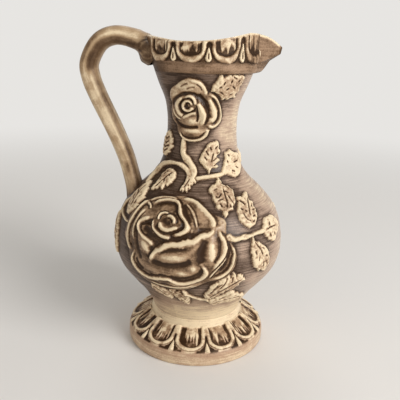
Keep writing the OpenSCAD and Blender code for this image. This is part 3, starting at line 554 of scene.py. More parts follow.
# leaves: ragged outline and dark veins, in pixels of the picture
leafLook = dict(
    lift=1.6, margin=2.0, perSpan=3, high=1.7, edgeReach=0.45, leastHigh=0.15, bulge=0.5, bulgeReach=4.5,
    innerRun=(0.3, 1.3), edgePaler=0.2, edge=0.9, veinWidth=1.4, veinDepth=0.6, veinWash=0.78, veinLow=0.25,
    veinMore=0.75, lumps=0.16, lumpShare=0.6, mottle=0.08, ragged=0.3)
leaves = dict(
    neck_top_leaf=dict(
        wash=0.44,
        outline=[(211, 92), (214, 86), (217, 81), (220, 77), (223, 74), (225, 78), (229, 76.5), (232, 74),
                 (233, 76.3), (236, 73.5), (238.5, 72.5), (240, 75), (243, 73), (244, 75.5), (245.8, 77),
                 (245, 80), (243.5, 83), (242, 86), (240.5, 88.5), (240.5, 91), (237.5, 93.5), (236, 95),
                 (236.5, 98), (233.5, 98.6), (230, 99), (228, 100.5), (225, 99.6), (222, 101), (221, 98),
                 (218, 95), (215, 93)],
        veins=[[(223.5, 85), (225.5, 82)], [(231, 83), (232.5, 80.5)], [(232.5, 86), (234.5, 88.5)],
               [(220.5, 92), (223.5, 94.5)], [(234, 77), (237, 79)], [(219, 88), (222, 87)],
               [(226, 90), (229, 88)], [(229, 95), (232, 93.5)], [(238, 82), (240, 80)]]),
    neck_low_leaf=dict(
        wash=0.40,
        outline=[(217, 140.8), (213, 142), (210, 142.5), (207, 146), (204.5, 150), (202, 153), (200, 157),
                 (199, 160), (201, 164), (205, 168), (208, 171), (209, 174), (211, 170), (212.5, 168),
                 (216, 168), (219, 166), (217, 163.5), (220, 161), (220, 158.5), (217, 157), (218.5, 155),
                 (220.8, 153), (221, 150), (219.3, 148.5), (220, 145), (219, 142)],
        veins=[[(213.5, 153), (212.3, 158), (211.5, 162)], [(206, 151), (208.5, 155.5)],
               [(204.5, 157), (207, 160.5)], [(210, 147), (211.5, 150)], [(213, 161), (217, 158)],
               [(214, 166), (218, 163)], [(215, 149), (218, 146)], [(217.5, 154), (219, 152.5)]]),
    neck_spout_leaf=dict(
        wash=0.29,
        outline=[(226, 152), (228.5, 151.3), (231, 149), (233, 151), (235, 152), (237.5, 152), (240, 155),
                 (241, 160), (241.5, 166), (241, 172), (239.5, 175), (236, 176), (232, 175.5), (228, 174),
                 (224, 174), (222, 172), (223, 168), (224.5, 163), (226, 158), (225.5, 154)],
        veins=[[(227, 160), (228, 162.5)], [(233, 162.5), (237, 160)], [(235, 166.5), (238, 168)],
               [(228, 154), (229, 156.5)], [(231.5, 170.5), (235, 171.5)]]),
    shoulder_bud_leaf=dict(
        wash=0.44,
        outline=[(176, 172), (175.5, 175), (174, 178), (172, 180.5), (169.5, 183), (166, 185), (164.7, 184),
                 (163, 186.5), (161, 188.5), (159.5, 186.3), (158, 186), (156, 188), (152, 188.3),
                 (150, 188), (153, 184.5), (155.5, 182), (158, 179), (160.5, 175), (163, 171.5), (166, 169),
                 (169, 167.5), (172, 168.5), (174.5, 170)],
        veins=[[(173, 172), (167, 176.5), (160, 182.5), (154, 187)], [(169.5, 174), (169.5, 176.5)],
               [(165.5, 178), (163.5, 182)], [(162, 175), (160, 179)], [(168, 171), (164, 174)]]),
    shoulder_handle_leaf=dict(
        wash=0.24,
        outline=[(150.5, 179.5), (149, 183), (147, 185.5), (148, 187), (146.5, 190), (144.5, 193),
                 (143.5, 194.6), (144.5, 196), (141, 199), (138, 202), (138, 204), (136, 206.5), (133, 209),
                 (130, 210.5), (127, 213), (126, 210), (127, 206), (128, 203), (129, 199.5), (131, 195.3),
                 (134.7, 191), (139.2, 186.6), (144, 182.5)],
        veins=[[(146, 184.5), (140, 191), (135.5, 197.5), (131, 206)], [(142, 194), (139, 196.5)],
               [(137, 199.5), (134.5, 203)], [(134.5, 194), (133.5, 199)], [(139, 189), (138, 193)]]),
    shoulder_front_leaf=dict(
        wash=0.46,
        outline=[(219, 178), (221, 182), (224, 184), (228, 185), (231, 187), (234, 190), (235, 194),
                 (236.5, 199), (236, 203), (233.8, 205), (234, 208), (231, 209.5), (229, 210.5), (229, 214),
                 (226, 217.5), (224.5, 215), (223, 211), (221, 209), (218, 208.5), (216, 206), (215, 202),
                 (213, 199), (213, 195), (210, 192), (209, 188), (211, 185), (215, 183), (217, 180)],
        veins=[[(222.5, 188), (225, 196), (227, 202), (227.5, 208)],
               [(227.5, 195.5), (232, 201), (235, 204)], [(225.5, 185), (229, 188.5)],
               [(216, 196), (218, 198), (221, 194.5)], [(220, 203), (222, 207)], [(214, 190.5), (217, 189)],
               [(224, 191), (228.5, 193)], [(218, 201), (223, 199)], [(230, 205), (232, 207)]]),
    shoulder_spout_leaf=dict(
        wash=0.38,
        outline=[(246, 190), (248, 193), (249, 196), (250, 199), (253, 201), (254, 205), (256, 208),
                 (257, 212), (258.7, 217), (257.5, 219.5), (257, 223), (254.5, 226), (251, 227.5),
                 (247, 226.5), (243, 223), (240, 219.5), (239, 215), (238, 210), (238, 205), (238.5, 200),
                 (237, 196.5), (239.5, 195), (242, 196), (243.5, 193)],
        veins=[[(247.3, 197), (248, 204), (249, 210), (250, 215)], [(239.5, 199.5), (245, 205)],
               [(243, 213), (247, 219), (251, 221)], [(251, 204.5), (251.5, 206.5)],
               [(252, 210), (255, 208)], [(252.5, 216.5), (255, 215)], [(253, 222), (255, 220)],
               [(240.5, 208), (243, 210)], [(245, 210), (247, 212)]]),
    shoulder_stalk_leaf=dict(
        wash=0.34,
        outline=[(187, 175.5), (192, 175.5), (195.2, 178), (195.4, 182), (193.2, 182), (192.6, 185),
                 (190.2, 184.6), (189.4, 187.8), (187.2, 187), (186.4, 190.8), (184.2, 188.6), (182.4, 191),
                 (181, 189), (179.6, 189.6), (181, 186), (183.6, 182), (185, 178.5)],
        veins=[[(189.5, 179), (187, 183), (183.5, 187.5)], [(190.5, 180.5), (191.6, 183)],
               [(187.8, 184), (188.4, 186)]]),
    belly_tip_leaf=dict(
        wash=0.26,
        outline=[(265, 218), (267, 216.5), (270, 214.5), (273, 215), (276, 217.5), (278.3, 221), (279, 226),
                 (278, 231), (277, 236), (276, 240), (274, 241.5), (272.5, 239.5), (271, 240.5), (269, 238),
                 (267, 235), (265, 232), (264, 228), (264.5, 223)],
        veins=[[(269, 221.5), (269.3, 225)], [(273.5, 231.5), (275, 234.5)],
               [(266, 230), (270, 227), (275, 225)], [(270, 233), (271.5, 236)]]),
    belly_hanging_leaf=dict(
        wash=0.40,
        outline=[(253, 240), (256, 240.5), (260, 242), (264, 244), (267.5, 247), (269.5, 251), (270.5, 256),
                 (270, 261), (268, 266), (266, 270), (264.5, 271.5), (262, 271), (261, 269.6), (259, 272),
                 (257.5, 269.5), (255, 268.5), (254, 265), (253.5, 261), (252.5, 257), (252, 252),
                 (252, 246)],
        veins=[[(255, 241), (258, 246), (261, 250), (262.5, 255)], [(262.5, 247), (264, 248.5)],
               [(265.5, 254.5), (267, 256)], [(259.5, 256.5), (258.5, 261)], [(263.5, 261), (263, 266)],
               [(255.5, 251), (257, 255)], [(266.5, 260), (266, 263)]]),
    base_upper_leaf=dict(
        wash=0.38,
        outline=[(204, 297), (208, 292), (212, 287), (217, 284), (220, 281.5), (224, 279), (228, 276.5),
                 (230, 275), (231, 279), (233, 276), (235, 273), (236.5, 275), (237.5, 277.5),
                 (239.5, 275.5), (243, 276), (244.5, 278), (246, 280), (243, 281.5), (240.5, 283),
                 (239.5, 285.5), (236, 288), (233, 290), (228, 292), (223, 294), (217, 297), (211, 299.3),
                 (206, 299.5)],
        veins=[[(208, 298), (216, 293.5), (225, 288.5), (234, 283.5), (242, 279)],
               [(209, 294.5), (216, 289), (223, 284)], [(213, 290.5), (218, 286)],
               [(228, 278), (224.5, 284), (219.5, 289)], [(216, 296.5), (224, 292.5), (231, 288.5)],
               [(234, 277), (231.5, 283)], [(224, 293.6), (229, 290.5)]]),
    base_lower_leaf=dict(
        wash=0.32,
        outline=[(209, 302), (214, 299.6), (220, 297.4), (225, 295.4), (228, 293.8), (232, 292.4),
                 (234.5, 292), (236, 294), (238.5, 293), (240, 294.8), (242.8, 293.8), (244.6, 295),
                 (242.4, 297.5), (239.5, 299.8), (236, 300.6), (230, 302), (222, 303.6), (214, 305.2),
                 (209, 304.8)],
        veins=[[(213, 303), (224, 299.4), (234, 297), (240, 296)], [(219, 299.4), (226, 296.4)],
               [(217, 303.2), (226, 301)]]),
    base_handle_leaf=dict(
        wash=0.45,
        outline=[(150, 283), (155, 284.5), (161, 287), (167, 290), (171, 294), (173, 299), (170, 298),
                 (165, 296), (159, 293), (154, 289.5), (151, 286.5)],
        veins=[[(153, 285.5), (160, 289.5), (168, 295)]]))

# leaves that the picture shows edge on: angle and height share of the base, the same of the tip,
# half width, teeth, wash
turnedLeaves = dict(
    neck_handle_leaf=(-64, 0.665, -58, 0.775, 8.0, 4, 0.44),
    belly_handle_leaf=(-72, 0.436, -64, 0.262, 5.2, 5, 0.54))
turnedLook = dict(steps=40, toothLow=0.8, tooth=0.2, fullest=0.85, blunt=0.7, spine=slice(4, -4),
                  ribs=range(7, 30, 6), ribSteps=5, ribReach=0.6)


def sculptLeaf(name, angle, v, wash, veins=(), ribs=()):
    look = leafLook
    window, into = openOutline(angle, v, look["margin"])
    fine, broad = window["fine"], window["broad"]
    into = into + look["ragged"] * fine
    high = look["high"] * risen(into, look["edgeReach"])
    high += look["bulge"] * smoothStep(0, look["bulgeReach"], into)
    inner = smoothStep(*look["innerRun"], into)
    high += look["lumps"] * (look["lumpShare"] * fine + look["lumpShare"] * broad) * inner
    shade = wash - look["edgePaler"] * np.exp(-(into / look["edge"]) ** 2)
    shade -= look["mottle"] * (fine + broad) * inner
    wide = (look["veinWidth"],) * 3
    lines = [drawLine(window, points, wide, look["lift"]) for points in veins]
    lines += [nearLine(window, ribA, ribV, wide) for ribA, ribV in ribs]
    for near, side, ends in lines:
        cutIn = np.exp(-near ** 2) * (look["veinLow"] + look["veinMore"] * ends)
        high -= look["veinDepth"] * cutIn
        shade = blend(shade, look["veinWash"], cutIn)
    claim(window, np.where(into > 0, np.maximum(high, look["leastHigh"]), 0), name, shade)


def sculptLeaves():
    for name, leaf in leaves.items():
        angle, v = pixelOnWall(smoothLoop(leaf["outline"], leafLook["perSpan"]), leafLook["lift"])
        sculptLeaf(name, angle, v, leaf["wash"], veins=leaf["veins"])
    look = turnedLook
    for name, (baseA, baseShare, tipA, tipShare, wide, teeth, wash) in turnedLeaves.items():
        t = np.linspace(0, 1, look["steps"])
        spineA, share = baseA + t * (tipA - baseA), baseShare + t * (tipShare - baseShare)
        saw = look["toothLow"] + look["tooth"] * ((t * teeth) % 1)
        half = wide * np.sin(np.pi * t ** look["fullest"]) ** look["blunt"] * saw
        v = np.interp(waistZ + share * (collarZ - waistZ), runZ, runV)
        half = np.degrees(half / radiusAt(v))
        ribs = [(spineA[look["spine"]], v[look["spine"]])]
        for i in look["ribs"]:
            end = i + look["ribSteps"]
            for way in (-look["ribReach"], look["ribReach"]):
                ribs.append((np.array([spineA[i], spineA[end] + way * half[end]]), v[[i, end]]))
        sculptLeaf(name, np.concatenate([spineA + half, (spineA - half)[::-1]]),
                   np.concatenate([v, v[::-1]]), wash, ribs=ribs)


sculptLeaves()

# stems, drawn along the picture with their widths at start, middle and end, and two lumps
stemLook = dict(lift=1.6, margin=4.0, high=1.8, halfShare=0.85, thin=0.92, wander=0.28, broadUneven=0.24,
                fineUneven=0.1, wash=0.2, edgeWash=0.3, mottle=0.14)
lumpLook = dict(margin=2.0, highShare=0.8, edgeReach=0.7, uneven=0.3, wash=0.44, edgePaler=0.24, edge=1.1,
                mottle=0.12)
stems = dict(
    neckRose=([(183, 140), (182.2, 147), (182.5, 153.5), (185.7, 158), (189.8, 163), (192.7, 168),
               (193.5, 173), (192.6, 177), (190.8, 180.5)], (4.6, 6.8, 6.4)),
    arch=([(147, 180), (151, 175), (156, 169), (161, 164), (167, 162), (173, 162.3), (179, 164),
           (184.5, 167.5), (188, 171.5), (190.5, 177)], (8, 5, 4.2)),
    across=([(197, 178.2), (203, 176.9), (210, 176.2), (217, 175.2), (223, 173.5)], (4.8, 4.8, 4)),
    frontLeaf=([(216.5, 175.5), (218.5, 178.5), (221, 182)], (2, 2, 2)),
    belly=([(230, 238), (235, 240.2), (239, 239), (245, 237.5), (251, 235.8), (257, 233), (263, 231),
            (267, 229)], (5.4, 4.8, 4)),
    hanging=([(252.5, 236), (253.5, 240), (255, 243)], (2, 2, 2)),
    base=([(187, 296), (193, 298.5), (200, 300), (206, 301), (210, 303.5)], (2.2, 2.4, 2)),
    handleEdge=([(130, 196), (126, 200.5), (122.5, 206), (120.3, 212)], (2, 2.4, 2)),
    handleTwig=([(122, 206.8), (121.9, 211.5), (123, 216.4), (124.8, 219.4), (127, 221)], (2, 2, 1.8)))
lumps = dict(
    bellyKnob=[(230, 237), (234, 235.6), (237, 237.6), (238, 240.6), (235.5, 242), (232, 240.8)],
    baseTuft=[(167.5, 289), (174, 290), (181, 291.4), (186.5, 293.6), (189, 297), (190, 301),
              (189.6, 305.6), (186.4, 304.4), (184.4, 305), (182.2, 302.4), (179.6, 302.4), (177.2, 299.4),
              (174.8, 298.6), (173, 295.4), (170.4, 293.8)])


def sculptStems():
    look = stemLook
    for points, widths in stems.values():
        angle, v = pixelOnWall(smoothLine(points), look["lift"])
        window = openWindow(angle, v, look["margin"])
        fine, broad = window["fine"], window["broad"]
        near, side, ends = drawLine(window, points, widths, look["lift"])
        near = near * (look["thin"] + look["wander"] * broad)
        high = look["high"] * np.sqrt(np.maximum(1 - (near / look["halfShare"]) ** 2, 0))
        high = np.where(high > 0, high * (1 + look["broadUneven"] * broad + look["fineUneven"] * fine), 0)
        shade = look["wash"] + look["edgeWash"] * np.clip(near, 0, 1) ** 3 - look["mottle"] * broad
        claim(window, high, "stems", shade)
    look = lumpLook
    for outline in lumps.values():
        angle, v = pixelOnWall(smoothLoop(outline), stemLook["lift"])
        window, into = openOutline(angle, v, look["margin"])
        high = look["highShare"] * stemLook["high"] * risen(into, look["edgeReach"])
        high *= 1 + look["uneven"] * window["fine"]
        shade = look["wash"] - look["edgePaler"] * np.exp(-(into / look["edge"]) ** 2)
        claim(window, np.where(into > 0, high, 0), "stems", shade - look["mottle"] * window["fine"])


sculptStems()
print("spray sculpted:", len(pieces), "pieces on a side")


# wash: it stays in hollows and is wiped off what stands proud; the dark edge of the wall round each piece
# of relief is partly that wash, partly painted shade
washLook = dict(fine=0.26, fineReach=0.7, fineFull=0.35, broad=0.13, broadReach=2.6, broadFull=0.8,
                far=0.18, farReach=8.0, farFull=0.6, nearShare=0.9, edgePoolAndShade=0.6, edgePoolAndShadeReach=1.1)


def hollows(height, radii, rowStep):
    depths = []
    for key in ("fine", "broad", "far"):
        sunkIn = blurRing(height, washLook[key + "Reach"], radii, rowStep) - height
        depths.append(washLook[key] * sunkIn / washLook[key + "Full"])
    return depths[0] + depths[1], depths[2]


ringRelief = closeRing(relief)
ringOwner = closeRing(owner)
ringA = np.concatenate([netA[:-1], 180 - netA[:0:-1]])
ringNear, ringFar = hollows(ringRelief, netR, netV[1] - netV[0])

# bare wall: how dark it is at each share of its height, and from handle to spout painted shade that darkens
# the handle side, away from the key light, partly a darker wash there
wallTone = dict(
    shares=[0, 0.045, 0.09, 0.2, 0.4, 0.6, 0.75, 0.88, 1.0],
    washes=[0.12, 0.13, 0.28, 0.40, 0.40, 0.39, 0.30, 0.36, 0.46],
    sides=[-1, -0.85, -0.5, 0, 0.35, 0.7, 1],
    sideShadeWashes=[0.33, 0.33, 0.21, 0.05, 0.02, 0.0, -0.04],
    sideRun=(0.02, 0.12), shadeSpotMargin=12.0)
wallShare = (np.interp(netV, runV, runZ) - waistZ) / (collarZ - waistZ)
wallBase = np.interp(wallShare, wallTone["shares"], wallTone["washes"])[:, None]
# painted shade, partly darker wash: the wall darkens towards the handle, the side away from the key light
wallSideShade = np.interp(np.sin(np.radians(ringA)), wallTone["sides"], wallTone["sideShadeWashes"])[None, :]
wallWashAndShade = wallBase + wallSideShade * smoothStep(*wallTone["sideRun"], wallShare)[:, None]
# spots of painted shade where shadow falls on the bare wall, under the collar and beside the relief, and
# with negative wash painted sheen where the glaze reflects the light
shadeAndSheenSpots = dict(  # place, half width, half height in the picture, wash
    underRose=(243, 267, 9, 6, 0.22), overRose=(186, 191, 14, 4, 0.12), besideStem=(172, 158, 8, 6, 0.08),
    overLeaf=(215, 76, 12, 4, 0.1), besideRose=(222, 131, 7, 11, -0.13), underBud=(200, 148, 4, 6, -0.14),
    overPetal=(203, 192, 7, 4, 0.12), behindLeaf=(237, 190, 3.5, 5, 0.16),
    overStem=(245, 230, 6, 3, -0.14), underCollar=(176, 74, 20, 5, 0.16), lowSide=(152, 296, 9, 9, 0.2),
    betweenLeaves=(243, 214, 4, 8, -0.1), underTwig=(241, 249, 6, 7, -0.12))
shadeAndSheenOnWall = np.zeros(netShape)
for px, py, halfW, halfH, more in shadeAndSheenSpots.values():
    angle, v = pixelOnWall([(px - halfW, py - halfH), (px + halfW, py + halfH)], 0.0)
    window = openWindow(angle, v, wallTone["shadeSpotMargin"])
    shadeAndSheenOnWall[window["part"]] += more * drawSpot(window, px, py, halfW, halfH, 0, 0.0)
wallWashAndShade = wallWashAndShade + closeRing(shadeAndSheenOnWall)
# painted shade, partly pooled wash: the bare wall darkens right round every piece of relief
edgePoolAndShade = washLook["edgePoolAndShade"] * blurRing(1.0 * (ringOwner >= 0), washLook["edgePoolAndShadeReach"], netR, netV[1] - netV[0])
wallWashAndShade = np.clip(wallWashAndShade + ringFar + washLook["nearShare"] * ringNear + edgePoolAndShade, 0, 1)
# tone of every cell: wash, with painted shade and painted sheen on the bare wall
ringWashAndPaintedLight = np.where(ringOwner >= 0, np.clip(closeRing(tone) + ringNear, 0, 1), wallWashAndShade)


# wash, with the painted shade and painted highlights laid into it, and the brush's own directions ride on
# the points: two around, the third across the lines
def makePiece(name, points, quads, nodes, material, wash, brush=None):
    points = np.asarray(points, np.float32).reshape(-1, 3) * mm
    if brush is None:
        r = np.maximum(np.hypot(points[:, 0], points[:, 1]), 1e-5)
        brush = np.stack([points[:, 0] / r, points[:, 1] / r, points[:, 2]], -1)
    used, packed = np.unique(quads, return_inverse=True)
    points, quads = points[used], packed.reshape(-1, 4).astype(np.int32)
    wash = np.asarray(wash, np.float32).ravel()[used]
    brush = np.asarray(brush, np.float32).reshape(-1, 3)[used]
    mesh = bpy.data.meshes.new(name)
    mesh.vertices.add(len(points))
    mesh.vertices.foreach_set("co", points.ravel())
    mesh.loops.add(quads.size)
    mesh.loops.foreach_set("vertex_index", quads.ravel())
    mesh.polygons.add(len(quads))
    mesh.polygons.foreach_set("loop_start", np.arange(0, quads.size, 4, dtype=np.int32))
    mesh.polygons.foreach_set("use_smooth", np.ones(len(quads), bool))
    mesh.update(calc_edges=True)
    layer = mesh.attributes.new("wash", "FLOAT", "POINT")
    layer.data.foreach_set("value", wash)
    layer = mesh.attributes.new("brush", "FLOAT_VECTOR", "POINT")
    layer.data.foreach_set("vector", brush.ravel())
    mesh.materials.append(material)
    piece = bpy.data.objects.new(name, mesh)
    bpy.context.collection.objects.link(piece)
    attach(piece, "root")
    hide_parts(*nodes)


def netQuads(rows, columns, closedRows=False, closedColumns=True):
    i, j = np.meshgrid(np.arange(rows - (not closedRows)), np.arange(columns - (not closedColumns)),
                       indexing="ij")
    up, on = (i + 1) % rows, (j + 1) % columns
    return np.stack([i * columns + j, i * columns + on, up * columns + on, up * columns + j],
                    -1).reshape(-1, 4)


# inputs of a node: sockets are linked, values are set
def plug(tree, node, given):
    for key, value in given.items():
        if isinstance(value, bpy.types.NodeSocket):
            tree.links.new(value, node.inputs[key])
        else:
            node.inputs[key].default_value = value


def addNode(tree, kind, given=None, **settings):
    node = tree.nodes.new(kind)
    for key, value in settings.items():
        setattr(node, key, value)
    plug(tree, node, given or {})
    return node


def sums(tree, operation, *values):
    return addNode(tree, "ShaderNodeMath", dict(enumerate(values)), operation=operation).outputs[0]


def newGroup(name, inputs, outputs):
    tree = bpy.data.node_groups.new(name, "ShaderNodeTree")
    for label, kind, value in inputs:
        socket = tree.interface.new_socket(name=label, in_out="INPUT", socket_type=kind)
        socket.default_value = value
    for label, kind in outputs:
        tree.interface.new_socket(name=label, in_out="OUTPUT", socket_type=kind)
    return tree, tree.nodes.new("NodeGroupInput"), tree.nodes.new("NodeGroupOutput")


def ramp(tree, value, low, high):
    node = addNode(tree, "ShaderNodeMapRange", {"From Min": low, "From Max": high, "Value": value},
                   interpolation_type="SMOOTHSTEP")
    return node.outputs["Result"]


# marks of a wide brush, drawn along each piece
def brushStreaks():
    tree, given, out = newGroup(
        "brushStreaks",
        [("Around", "NodeSocketFloat", 2.0), ("Lines", "NodeSocketFloat", 900.0)],
        [("Mask", "NodeSocketFloat")])
    held = addNode(tree, "ShaderNodeAttribute", attribute_name="brush")
    split = addNode(tree, "ShaderNodeSeparateXYZ", {0: held.outputs["Vector"]})
    flat = addNode(tree, "ShaderNodeCombineXYZ", {"X": split.outputs["X"], "Y": split.outputs["Y"]})
    around = addNode(tree, "ShaderNodeVectorMath",
                     {0: flat.outputs[0], "Scale": given.outputs["Around"]}, operation="SCALE")
    across = sums(tree, "MULTIPLY", split.outputs["Z"], given.outputs["Lines"])
    lift = addNode(tree, "ShaderNodeCombineXYZ", {"Z": across})
    place = addNode(tree, "ShaderNodeVectorMath", {0: around.outputs[0], 1: lift.outputs[0]},
                    operation="ADD")
    noise = addNode(tree, "ShaderNodeTexNoise", noise_dimensions="3D", given={
        "Scale": 1.0, "Detail": 5.0, "Roughness": 0.62, "Vector": place.outputs[0]})
    plug(tree, out, {"Mask": ramp(tree, noise.outputs["Fac"], 0.32, 0.68)})
    return tree


# tooth of the fired clay, with small pits
def clayGrain():
    tree, given, out = newGroup(
        "clayGrain", [("Scale", "NodeSocketFloat", 1100.0)],
        [("Grain", "NodeSocketFloat"), ("Pits", "NodeSocketFloat"), ("Cloud", "NodeSocketFloat")])
    coords = addNode(tree, "ShaderNodeTexCoord").outputs["Object"]
    for label, share, detail in (("Grain", 1.0, 4.0), ("Cloud", 0.11, 3.0)):
        scale = sums(tree, "MULTIPLY", given.outputs["Scale"], share)
        noise = addNode(tree, "ShaderNodeTexNoise", {"Detail": detail, "Vector": coords, "Scale": scale})
        plug(tree, out, {label: ramp(tree, noise.outputs["Fac"], 0.3, 0.7)})
    scale = sums(tree, "MULTIPLY", given.outputs["Scale"], 0.5)
    cells = addNode(tree, "ShaderNodeTexVoronoi", {"Vector": coords, "Scale": scale}, feature="F1")
    plug(tree, out, {"Pits": ramp(tree, cells.outputs["Distance"], 0.22, 0.05)})
    return tree


# four tones of the wash, from the wiped clay to the brown left in the hollows
def antiqueWash():
    colour = "NodeSocketColor"
    masks = ("Streak", "Grain", "Cloud")
    tree, given, out = newGroup(
        "antiqueWash",
        [("Wash", "NodeSocketFloat", 0.5)] + [(mask, "NodeSocketFloat", 0.5) for mask in masks]
        + [(mask + " Amount", "NodeSocketFloat", 0.1) for mask in masks]
        + [("Ivory", colour, (0.8, 0.7, 0.5, 1)), ("Tan", colour, (0.4, 0.3, 0.2, 1)),
           ("Umber", colour, (0.1, 0.06, 0.03, 1)), ("Dark", colour, (0.02, 0.01, 0.01, 1))],
        [("Color", colour), ("Level", "NodeSocketFloat")])
    level = given.outputs["Wash"]
    for mask in masks:
        centred = sums(tree, "SUBTRACT", given.outputs[mask], 0.5)
        level = sums(tree, "MULTIPLY_ADD", centred, given.outputs[mask + " Amount"], level)
    tone = given.outputs["Ivory"]
    for label, low, high in (("Tan", 0.08, 0.46), ("Umber", 0.42, 0.78), ("Dark", 0.74, 1.0)):
        mix = addNode(tree, "ShaderNodeMix", data_type="RGBA", given={
            "Factor": ramp(tree, level, low, high), "A": tone, "B": given.outputs[label]})
        tone = mix.outputs["Result"]
    plug(tree, out, {"Color": tone, "Level": level})
    return tree


groups = dict(streaks=brushStreaks(), grain=clayGrain(), wash=antiqueWash())

# finishes of the clay: colours are linear, amounts are shares of the wash
tones = dict(
    ivory=(0.82, 0.67, 0.455, 1), tan=(0.40, 0.262, 0.155, 1), umber=(0.115, 0.063, 0.030, 1),
    dark=(0.036, 0.015, 0.004, 1))
finishes = dict(
    brushedWall=dict(streak=0.24, grain=0.08, cloud=0.10, rough=0.34, coat=0.18, around=2.2, lines=1300.0,
                     tan=(0.44, 0.312, 0.228, 1), umber=(0.125, 0.080, 0.055, 1)),
    footClay=dict(streak=0.18, grain=0.10, cloud=0.12, rough=0.34, around=2.0, lines=900.0,
                  tan=(0.47, 0.31, 0.205, 1)),
    collarClay=dict(streak=0.12, grain=0.12, cloud=0.14, rough=0.34, around=2.5, lines=900.0,
                    tan=(0.36, 0.232, 0.145, 1)),
    handleClay=dict(streak=0.14, grain=0.08, cloud=0.18, rough=0.34, gloss=0.24, around=1.0, lines=420.0,
                    tan=(0.41, 0.28, 0.162, 1)),
    tongueEdges=dict(streak=0.08, grain=0.16, cloud=0.20, rough=0.38, coat=0.12, around=3.0, lines=500.0),
    rosePetals=dict(streak=0.14, grain=0.12, cloud=0.14, rough=0.32, coat=0.2, around=6.0, lines=700.0),
    leafClay=dict(streak=0.08, grain=0.20, cloud=0.18, rough=0.38, around=6.0, lines=500.0,
                  tan=(0.46, 0.31, 0.195, 1)),
    stemClay=dict(streak=0.08, grain=0.16, cloud=0.16, rough=0.38, around=6.0, lines=500.0))


clayLook = dict(gloss=0.2, duller=0.16, coatRough=0.24, pits=-0.6, streaks=2, bump=0.35, bumpHigh=0.15)


def clayMaterial(name, look):
    material = bpy.data.materials.new(name)
    material.use_nodes = True
    tree = material.node_tree
    streaks, grain, wash = [
        addNode(tree, "ShaderNodeGroup", node_tree=groups[key]) for key in ("streaks", "grain", "wash")]
    plug(tree, streaks, {"Around": look["around"], "Lines": look["lines"]})
    # the wash attribute holds the antique wash together with painted shade and painted highlights
    attribute = addNode(tree, "ShaderNodeAttribute", attribute_name="wash")
    plug(tree, wash, {
        "Wash": attribute.outputs["Fac"], "Streak": streaks.outputs["Mask"],
        "Grain": grain.outputs["Grain"], "Cloud": grain.outputs["Cloud"],
        "Streak Amount": look["streak"], "Grain Amount": look["grain"], "Cloud Amount": look["cloud"]})
    plug(tree, wash, {key.capitalize(): look.get(key, colour) for key, colour in tones.items()})
    dull = sums(tree, "MULTIPLY_ADD", wash.outputs["Level"], clayLook["duller"], look["rough"])
    tooth = sums(tree, "MULTIPLY_ADD", grain.outputs["Pits"], clayLook["pits"], grain.outputs["Grain"])
    lined = look["streak"] * clayLook["streaks"]
    tooth = sums(tree, "MULTIPLY_ADD", streaks.outputs["Mask"], lined, tooth)
    bump = addNode(tree, "ShaderNodeBump", {
        "Strength": clayLook["bump"], "Distance": clayLook["bumpHigh"] * mm, "Height": tooth})
    plug(tree, tree.nodes["Principled BSDF"], {
        "Base Color": wash.outputs["Color"], "Roughness": dull, "Normal": bump.outputs["Normal"],
        "Specular IOR Level": look.get("gloss", clayLook["gloss"]),
        "Coat Weight": look.get("coat", 0.0), "Coat Roughness": clayLook["coatRough"]})
    return material


clays = {name: clayMaterial(name, look) for name, look in finishes.items()}
print("finishes mixed:", len(clays))


# belly and neck as closed turned shells
shellLook = dict(stride=2, innerRows=26, innerWash=0.2)


def addShell(name, node, lowZ, highZ):
    lowRow, highRow = np.searchsorted(netV, np.interp([lowZ, highZ], runZ, runV))
    rows = np.unique(np.append(np.arange(lowRow, highRow, shellLook["stride"]), highRow))
    rows = np.clip(rows, 0, len(netV) - 1)
    cols = np.arange(0, len(ringA), shellLook["stride"])
    outV = netV[rows].copy()
    outV[0], outV[-1] = np.interp([lowZ, highZ], runZ, runV)
    outer = wallPoint(ringA[cols][None, :], outV[:, None], 0.0)
    inV = np.linspace(outV[-1], outV[0], shellLook["innerRows"])
    inner = wallPoint(ringA[cols][None, :], inV[:, None], 0.0)
    ring = np.hypot(inner[..., 0], inner[..., 1])[..., None]
    inner[..., :2] *= (ring - wall["thick"]) / ring
    points = np.concatenate([outer, inner])
    wash = np.concatenate([ringWashAndPaintedLight[np.ix_(rows, cols)],
                           np.full((len(inV), len(cols)), shellLook["innerWash"])])
    quads = netQuads(len(points), len(cols), closedRows=True)
    makePiece(name, points, quads, [node], clays["brushedWall"], wash)


addShell("belly_wall", "belly", waistZ, shoulderZ)
addShell("neck_wall", "neck", shoulderZ, collarZ)
print("shells turned")


# quads of a mask within reach of each quad, itself counted
def countNear(mask, wrap, reach=2):
    count = mask.astype(int)
    for axis in (0, 1):
        margin = [(reach, reach) if other == axis else (0, 0) for other in (0, 1)]
        padded = np.pad(count, margin, mode="wrap" if wrap and axis == 1 else "constant")
        places = np.arange(count.shape[axis])
        count = sum(np.take(padded, places + k, axis) for k in range(2 * reach + 1))
    return count


crumbSize = 6  # quads


# which quads of a net belong to which piece: the tallest corner decides
# a crumb of a few quads goes to the piece that lies round it
def sortQuads(ownerMap, heightMap, wrap):
    rows, cols = ownerMap.shape
    corners = netQuads(rows, cols, closedColumns=wrap)
    held = ownerMap.ravel()[corners]
    tall = np.where(held >= 0, heightMap.ravel()[corners], -1)
    mine = np.take_along_axis(held, np.argmax(tall, 1)[:, None], 1).reshape(rows - 1, -1)
    crumbs, best, most = np.zeros(mine.shape, bool), np.full(mine.shape, -1), crumbSize - 1
    for number in range(ownerMap.max() + 1):
        count = countNear(mine == number, wrap)
        crumbs |= (mine == number) & (count < crumbSize)
        best, most = np.where(count > most, number, best), np.maximum(count, most)
    return corners, np.where(crumbs, best, mine).ravel()


sunk = 0.3  # how deep the edge of a piece of relief goes into what carries it


